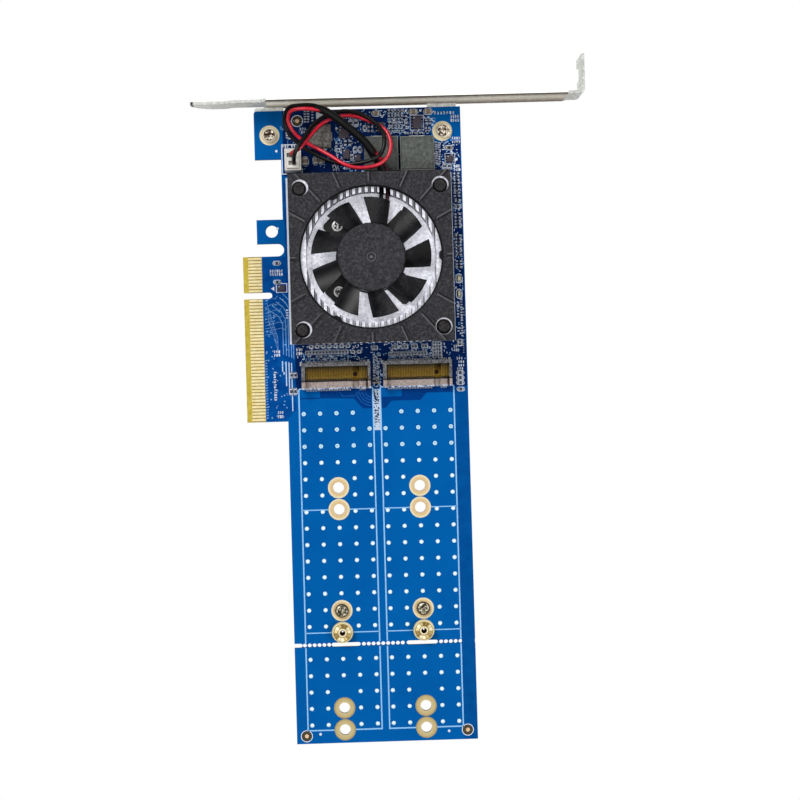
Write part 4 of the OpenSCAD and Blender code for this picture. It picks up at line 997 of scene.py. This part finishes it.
faint.line([(-17.5, 4.2), (-16.2, 2.4), (-12.6, 2.4), (-11.2, 3.6)], 0.16)
for i in range(7):
    # Fan-out from the module sockets towards the heatsink
    for x0 in (-28, -1.5):
        x = x0 + 2.1 * i
        traces.line([(x, 13.6), (x, 14.9), (x + 0.5, 15.5)], 0.13)
traces.line([(-33.4, 86.9), (-32.2, 85.6)], 0.22)
traces.line([(-33.4, 86.3), (-32.6, 85.4)], 0.22)
for i in range(14):
    x = -32 + 3.8 * i
    traces.line([(x, 79.6), (x + 0.9, 80.5), (x + 0.9, 82.4), (x + 1.8, 83.3)], 0.12)
    traces.line([(x + 1.6, 84), (x + 0.8, 84.9), (x + 0.8, 87)], 0.12)
traces.make("signal_traces", "trace_mask")
bundle.make("trace_bundle", "bright_line")
faint.make("faint_traces", "faint_trace_mask")

vias = Flat(0.02)
for x0, y0, x1, y1, n in (
        (-32, 72, 13.5, 91, 150), (14.6, 71.5, 22.3, 80.5, 26), (19.6, 4.8, 22.3, 70, 46),
        (-30.4, 13.2, 19, 18.8, 70), (-39.6, -4, -33, 33, 60), (-6.7, 5, -4.5, 18.6, 14)):
    for _ in range(n):
        vias.disc(rng.uniform(x0, x1), rng.uniform(y0, y1), rng.uniform(0.16, 0.24), 10)
vias.make("vias", "via_mask")

# ---- silkscreen
silk = Flat(0.03)
LINE_W = 0.42
CLEAR_OF_BREAK = 0.75
for x0, x1 in ((-29.8, -6.85), (-4.5, 18.35)):
    centre = (x0 + x1) / 2
    hole_x = min(MODULES, key=lambda m: abs(m - centre))
    for edge, inward in ((x0, 1), (x1, -1)):
        # Each side stops short of the break-off line and of the farthest pad
        silk.line([(edge + 1.1 * inward, 4.95), (edge + 0.3 * inward, 4.95), (edge, 4.6),
                   (edge, BREAK_Y + CLEAR_OF_BREAK)], LINE_W)
        silk.line([(edge, BREAK_Y - CLEAR_OF_BREAK), (edge, FAR_ROWS[2]),
                   (hole_x - 3.3 * inward, FAR_ROWS[2])], LINE_W)
    for y in FAR_ROWS[:2]:
        silk.line([(x0, y), (hole_x - 3.4, y)], LINE_W * 0.8)
        silk.line([(hole_x + 3.4, y), (x1, y)], LINE_W * 0.8)
silk.make("module_outlines", "silkscreen_line")

marks = Flat(0.03)


def tally(x, y, step, n, size, seed):
    """A run of generic marks where small print would be: short strokes, no letters.

    A positive step runs to the right, a negative one down.
    """
    r = random.Random(seed)
    w, h = (size * 0.55, size) if step > 0 else (size, size * 0.55)
    t = size * 0.34
    for i in range(n):
        cx, cy = (x + step * i, y) if step > 0 else (x, y + step * i)
        left, right, low, high = cx - w / 2, cx + w / 2, cy - h / 2, cy + h / 2
        kind = r.randrange(4)
        if kind == 0:
            marks.frame(left, low, right, high, t)
        for bar in (
                (),
                ((left, low, left + t, high), (left, cy - t / 2, right, cy + t / 2)),
                ((left, high - t, right, high), (cx - t / 2, low, cx + t / 2, high)),
                ((left, low, right, low + t), (left, cy, right, cy + t),
                 (right - t, low, right, high)))[kind]:
            marks.rect(*bar)


def capsule(x, y, w, h, width):
    """A rounded outline round a part."""
    r = min(w, h) / 2
    pts = []
    for cx, cy, a0 in ((w / 2 - r, h / 2 - r, 0), (r - w / 2, h / 2 - r, 90),
                       (r - w / 2, r - h / 2, 180), (w / 2 - r, r - h / 2, 270)):
        for k in range(4):
            a = math.radians(a0 + 30 * k)
            pts.append((x + cx + r * math.cos(a), y + cy + r * math.sin(a)))
    marks.line(pts + pts[:2], width)


# Print: fan header outline, lines along the cooler, and the strip between the modules
marks.line([(-27, 81), (-33, 81), (-33, 71.9), (-26.8, 71.9), (-26.8, 73.6)], 0.28)
marks.line([(-31.7, 18.9), (-31.7, 70.6)], 0.8)
marks.line([(-31.7, 18.95), (19.2, 18.95)], 0.34)
marks.line([(19.35, 18.9), (19.35, 71.2)], 0.22)
Flat(0.024).rect(-6.75, -8.4, -4.7, 4.3).make("strip_print", "strip_ink")
specks = Flat(0.032)
for _ in range(95):
    x, y = rng.uniform(-6.7, -5.1), rng.uniform(-7.9, 4)
    specks.rect(x, y, x + rng.uniform(0.22, 0.42), y + rng.uniform(0.22, 0.42))
specks.make("strip_specks", "dense_mask")
for seed, run in enumerate((
        (-32.6, 80.5, 0.75, 3, 0.8), (-29.8, 80.5, 0.75, 2, 0.7), (-25.5, 91.2, -0.8, 5, 0.8),
        (-24.5, 91.2, -0.8, 5, 0.8), (-23.2, 91, -0.9, 4, 0.7), (-31.2, 84.6, -0.75, 3, 0.8),
        (-30.4, 84.4, -0.75, 3, 0.7), (-17.2, 73.9, 0.75, 3, 0.9), (-17, 72.9, 0.75, 3, 0.8),
        (-13.6, 73.2, 0.7, 3, 0.8), (-13.4, 88.9, 0.7, 6, 0.6), (15, 89.7, 0.95, 7, 0.9),
        (20, 88.5, 0.7, 4, 0.9), (20, 87.3, 0.7, 4, 0.9), (20.2, 81.7, 0.7, 4, 0.8),
        (20.2, 80.6, 0.7, 4, 0.8), (15, 80.6, -0.72, 10, 0.75), (16, 80.4, -0.72, 10, 0.75),
        (20.6, 73, 0.7, 3, 0.9), (20.6, 71.9, 0.7, 3, 0.9), (-37, 10.4, -0.78, 12, 0.85),
        (-36.9, 16.8, 0.7, 3, 0.8), (-36.9, 15.7, 0.7, 3, 0.8), (-36.2, -2.1, 0.65, 3, 0.8),
        (-36.2, -3.4, 0.65, 3, 0.9), (-37.5, 41.8, 0.7, 6, 0.9), (-37.5, 40.8, 0.7, 6, 0.8),
        (-32.7, 29.6, -0.8, 4, 0.8), (21.5, 31.4, -0.8, 9, 0.7), (20.4, 30.6, -0.9, 6, 0.7),
        (21.5, 24, -0.75, 6, 0.6), (20.4, 22.6, -0.9, 2, 0.7), (19, 16.9, 0.6, 2, 0.9),
        (19, 15.8, 0.6, 3, 0.8), (19.7, 13.2, 0.7, 3, 0.8), (20.2, 12.1, 0.7, 3, 0.7),
        (20.2, 11, 0.7, 3, 0.7), (19.8, 10, 0.7, 3, 0.7), (-30, 17.2, 0.75, 3, 0.9),
        (-30, 16, 0.75, 3, 0.9), (-12.6, 71.6, 0.7, 3, 0.5), (21.8, 17.8, -0.7, 5, 0.4),
        (-6.2, 15, -0.8, 9, 0.7), (-5.2, 13.8, -0.8, 7, 0.7), (-27, 85.8, 0.7, 3, 0.8),
        (-26.6, 84.8, 0.7, 3, 0.7)), 1):
    tally(*run, seed)
marks.poly([(-22, 91.2), (-22, 88.6), (-19.9, 90)])
marks.poly([(-37.6, 36.4), (-36.5, 35.7), (-36.5, 37)])
marks.poly([(-20.4, 79.3), (-19.1, 79.9), (-19.1, 78.7)])
marks.frame(-36, 35.1, -32.5, 38, 0.22)
marks.frame(7.1, 84.5, 11.4, 89.2, 0.14)
marks.frame(17.6, 73.7, 20.8, 77.1, 0.14)
for x, y, r in (
        (-34.7, 79.1, 0.4), (-26, -102.1, 0.42), (13.9, -102.3, 0.42), (-35, 55, 0.42),
        (-15.8, 85.7, 0.4), (21.2, 75.1, 0.4), (19.7, 77.6, 0.3), (5.9, 90.7, 0.35),
        (10.4, 90.6, 0.35), (11.5, 88.4, 0.3)):
    marks.disc(x, y, r)

# Among the densest parts the print is broken into short strokes
strokes, glints = Flat(0.026), Flat(0.028)
for x0, y0, x1, y1, n in (
        (0, 83.2, 6.4, 91.2, 120), (11.8, 83.6, 14.6, 91, 34), (6.4, 82.9, 14.4, 84.4, 18),
        (-8, 88.6, 0, 91.2, 14), (-17.5, 71.6, -8, 79.6, 90), (14.3, 72, 17, 80.6, 30),
        (17, 71.6, 22.3, 82, 34), (19.6, 19, 22.3, 70.8, 120), (-30.4, 13.6, 19, 18.7, 90),
        (-16.5, 79.8, -8, 88.5, 60), (-28.2, 13.3, -12.5, 15, 60), (-27, 15, -11.5, 18.4, 60),
        (-1.6, 13.3, 12.5, 15, 56), (-1, 15, 13.5, 18.4, 56), (-6.7, 4.9, -4.3, 15.2, 90)):
    for i in range(n):
        x, y = rng.uniform(x0, x1), rng.uniform(y0, y1)
        long, wide = rng.uniform(0.3, 0.75), rng.uniform(0.17, 0.27)
        w, h = (long, wide) if rng.random() < 0.5 else (wide, long)
        (glints if i % 3 < 2 else strokes).rect(x, y, x + w, y + h)
strokes.make("print_strokes", "silkscreen_line")
glints.make("print_glints", "silkscreen_ink")

# ---- small parts
small = Solids()
OUTLINE = 0.45
CROWDED = 1.45                  # parts closer together than this share no outline of their own
two_ended = [(box, body, top)
             for node, body, top in (("ceramic_capacitors", "capacitor_ceramic", None),
                                     ("chip_resistors", "resistor_ceramic", "resistor_film"))
             for box in loose_boxes(node)]
middles = [Vector((b[0] + b[3], b[1] + b[4])) / 2 for b, _, _ in two_ended]
for box, body, top in two_ended:
    x0, y0, _, x1, y1, _ = box
    x, y = (x0 + x1) / 2, (y0 + y1) / 2
    w, h = x1 - x0, y1 - y0
    tiny = max(w, h) < 1.7 or (x < -30 and y < 13)
    look = ("small_ceramic", None, "pale_tin") if tiny else (body, top)
    small.chip_part(*box, *look)
    if 13 < y < 19 or (x < -30 and -2 < y < 13):
        capsule(x, y, w + 0.3, h + 0.3, 0.304)
    elif not any(0.01 < (Vector((x, y)) - other).length < CROWDED for other in middles):
        grow = (OUTLINE + 0.35, OUTLINE) if w > h else (OUTLINE, OUTLINE + 0.35)
        capsule(x, y, w + grow[0], h + grow[1], 0.208)
for box in loose_boxes("status_lamps"):
    x0, y0, _, x1, y1, _ = box
    small.chip_part(*box, "lamp_resin")
    capsule((x0 + x1) / 2, (y0 + y1) / 2, x1 - x0 + 0.9, y1 - y0 + 1, 0.256)
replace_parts(small.make("surface_mount_parts"), "ceramic_capacitors", "chip_resistors",
            "status_lamps")
marks.make("silkscreen_marks", "silkscreen_ink")

wells, rings, spots = Flat(0.012), Flat(0.03), Flat(0.05)
for x, y in ((-28, 88.3), (-30.25, -102.6), (19.7, -102.1)):
    wells.disc(x, y, 1.75, 32)
    rings.ring(x, y, 1.62, 1.85)
    spots.disc(x, y, 0.62, 24)
wells.make("fiducial_wells", "fiducial_well")
rings.make("fiducial_rings", "silkscreen_ink")
spots.make("fiducial_spots", "fiducial_gold")

# Small chips: chamfered body with a pin-one dot, and tinned legs on the two sides
CHIPS = (
    (9.25, 86.85, 2.5, 3.8, 0.9, 4), (-13.6, 84.1, 3.1, 3, 0.9, 0), (-2.1, 85.7, 2.1, 3.1, 0.9, 3),
    (-13, 77.6, 2, 3, 0.8, 0), (-9.5, 76.3, 1.9, 2, 0.8, 0), (19.1, 75.4, 1.8, 2.1, 0.8, 3),
    (-34.3, 36.5, 2.2, 1.7, 0.7, 0),
)
chips = Solids()
for x, y, w, d, h, legs in CHIPS:
    left, back, top = x - w / 2, y + d / 2, TOP + h
    chips.box(left, y - d / 2, TOP + 0.03, x + w / 2, back, top, "small_chip_epoxy", 0.08)
    chips.box(left + 0.28, back - 0.6, top - 0.01, left + 0.55, back - 0.33, top + 0.006,
              "silkscreen_ink", 0.002)
    # Chips without legs have three lands on each side, only just showing
    count, reach, wide = (legs, 0.5, 0.34) if legs else (3, 0.14, 0.3)
    for i in range(count):
        ly = y + (i - (count - 1) / 2) * (d / count)
        for side in (-1, 1):
            x0 = x + side * w / 2
            x1 = x0 + side * reach
            chips.box(x0, ly - wide / 2, TOP, x1, ly + wide / 2, TOP + 0.25, "bright_tin", 0.05)
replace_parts(chips.make("small_chips"), "regulator_chips")

# Module sockets: solder on the tails and on the corner tabs
TAILS = 37
TAIL_PITCH = 0.5
TAIL_HALF = 0.13                # half a tail's width
FIRST_TAIL = -8.95              # from the module's middle
KEY = (5, 7.4)                  # no tails between these, from the module's middle
sockets = Solids()
for m in MODULES:
    for i in range(TAILS):
        x = m + FIRST_TAIL + TAIL_PITCH * i
        if KEY[0] < x - m < KEY[1]:
            continue
        for shift, near, far in ((0, 4.15, 4.68), (0.25, 13, 13.55)):
            sockets.box(x - TAIL_HALF + shift, near, TOP, x + TAIL_HALF + shift, far,
                        TOP + 0.16, "tail_tin", 0.04)
    for x, y in ((m - 10.6, 12.6), (m + 10.3, 12.9)):
        sockets.box(x - 0.35, y - 0.5, TOP, x + 0.35, y + 0.7, TOP + 0.3, "tail_tin", 0.12)
sockets.make("socket_solder")

# Terminals of the inductors, and a painted highlight round the top edge of each big one
feet = Solids()
feet.box(2.9, 71.75, TOP, 4.3, 72.5, TOP + 0.5, "terminal_tin", 0.1)
feet.box(-4.9, 71.7, TOP, -3.6, 72.5, TOP + 0.5, "terminal_tin", 0.1)
for x0, y0, _, x1, y1, z1 in loose_boxes("power_inductors"):
    x = (x0 + x1) / 2
    for y, way in ((y0, -1), (y1, 1)):
        feet.box(x - 2.4, y, TOP, x + 2.4, y + 0.55 * way, TOP + 0.35, "terminal_tin", 0.08)
    # Painted highlight: a pale frame along the top edge
    edge_highlight = Flat(0.004, z1).frame(x0 + 0.06, y0 + 0.06, x1 - 0.06, y1 - 0.06, 0.16)
    edge_highlight.make("inductor_ridge_%d" % round(x), "inductor_ridge")
for x0, y0, _, x1, y1, _ in loose_boxes("filter_inductor"):
    y = (y0 + y1) / 2
    for x, way in ((x0, -1), (x1, 1)):
        feet.box(x, y - 1.4, TOP, x + 0.4 * way, y + 1.4, TOP + 0.35, "bright_tin", 0.08)
feet.make("inductor_terminals")

# ---- light and floor
def area_light(name, at, aim, size, power):
    data = bpy.data.lights.new(name, "AREA")
    data.size = size
    data.energy = power
    obj = place(name, data)
    obj.location = at
    obj.rotation_euler = (Vector(aim) - Vector(at)).to_track_quat("-Z", "Y").to_euler()


area_light("key_softbox", (-0.45, 0.55, 0.75), (0, 0.02, 0), 0.5, 6.5)
area_light("fill_softbox", (0.6, -0.35, 0.8), (0, 0, 0), 0.6, 4)

world = bpy.data.worlds.new("studio")
bpy.context.scene.world = world
world.use_nodes = True
sky = world.node_tree.nodes["Background"].inputs
sky[0].default_value = (1, 1, 1, 1)
sky[1].default_value = 0.32

# A white floor, which the camera sees as plain white
FLOOR_Z = -0.00002
floor_mesh = bpy.data.meshes.new("floor")
floor_mesh.from_pydata([(x, y, FLOOR_Z) for x, y in ((-3, -3), (3, -3), (3, 3), (-3, 3))], [],
                       [(0, 1, 2, 3)])
floor = place("floor", floor_mesh)
sweep = Mat("white_sweep", rough=0.9, spec=0.1)
sweep.paint(sweep.ramp(sweep.noise(4, 2), (0.3, 0.93), (0.7, 0.96)))
glow = sweep.add("ShaderNodeEmission", {0: (1, 1, 1, 1), 1: 1}).outputs[0]
camera_ray = sweep.add("ShaderNodeLightPath").outputs["Is Camera Ray"]
blend = sweep.add("ShaderNodeMixShader", {0: camera_ray, 1: sweep.b.outputs[0], 2: glow})
sweep.feed(sweep.out.inputs[0], blend.outputs[0])
floor_mesh.materials.append(sweep.m)

bpy.context.scene.view_settings.view_transform = "Standard"
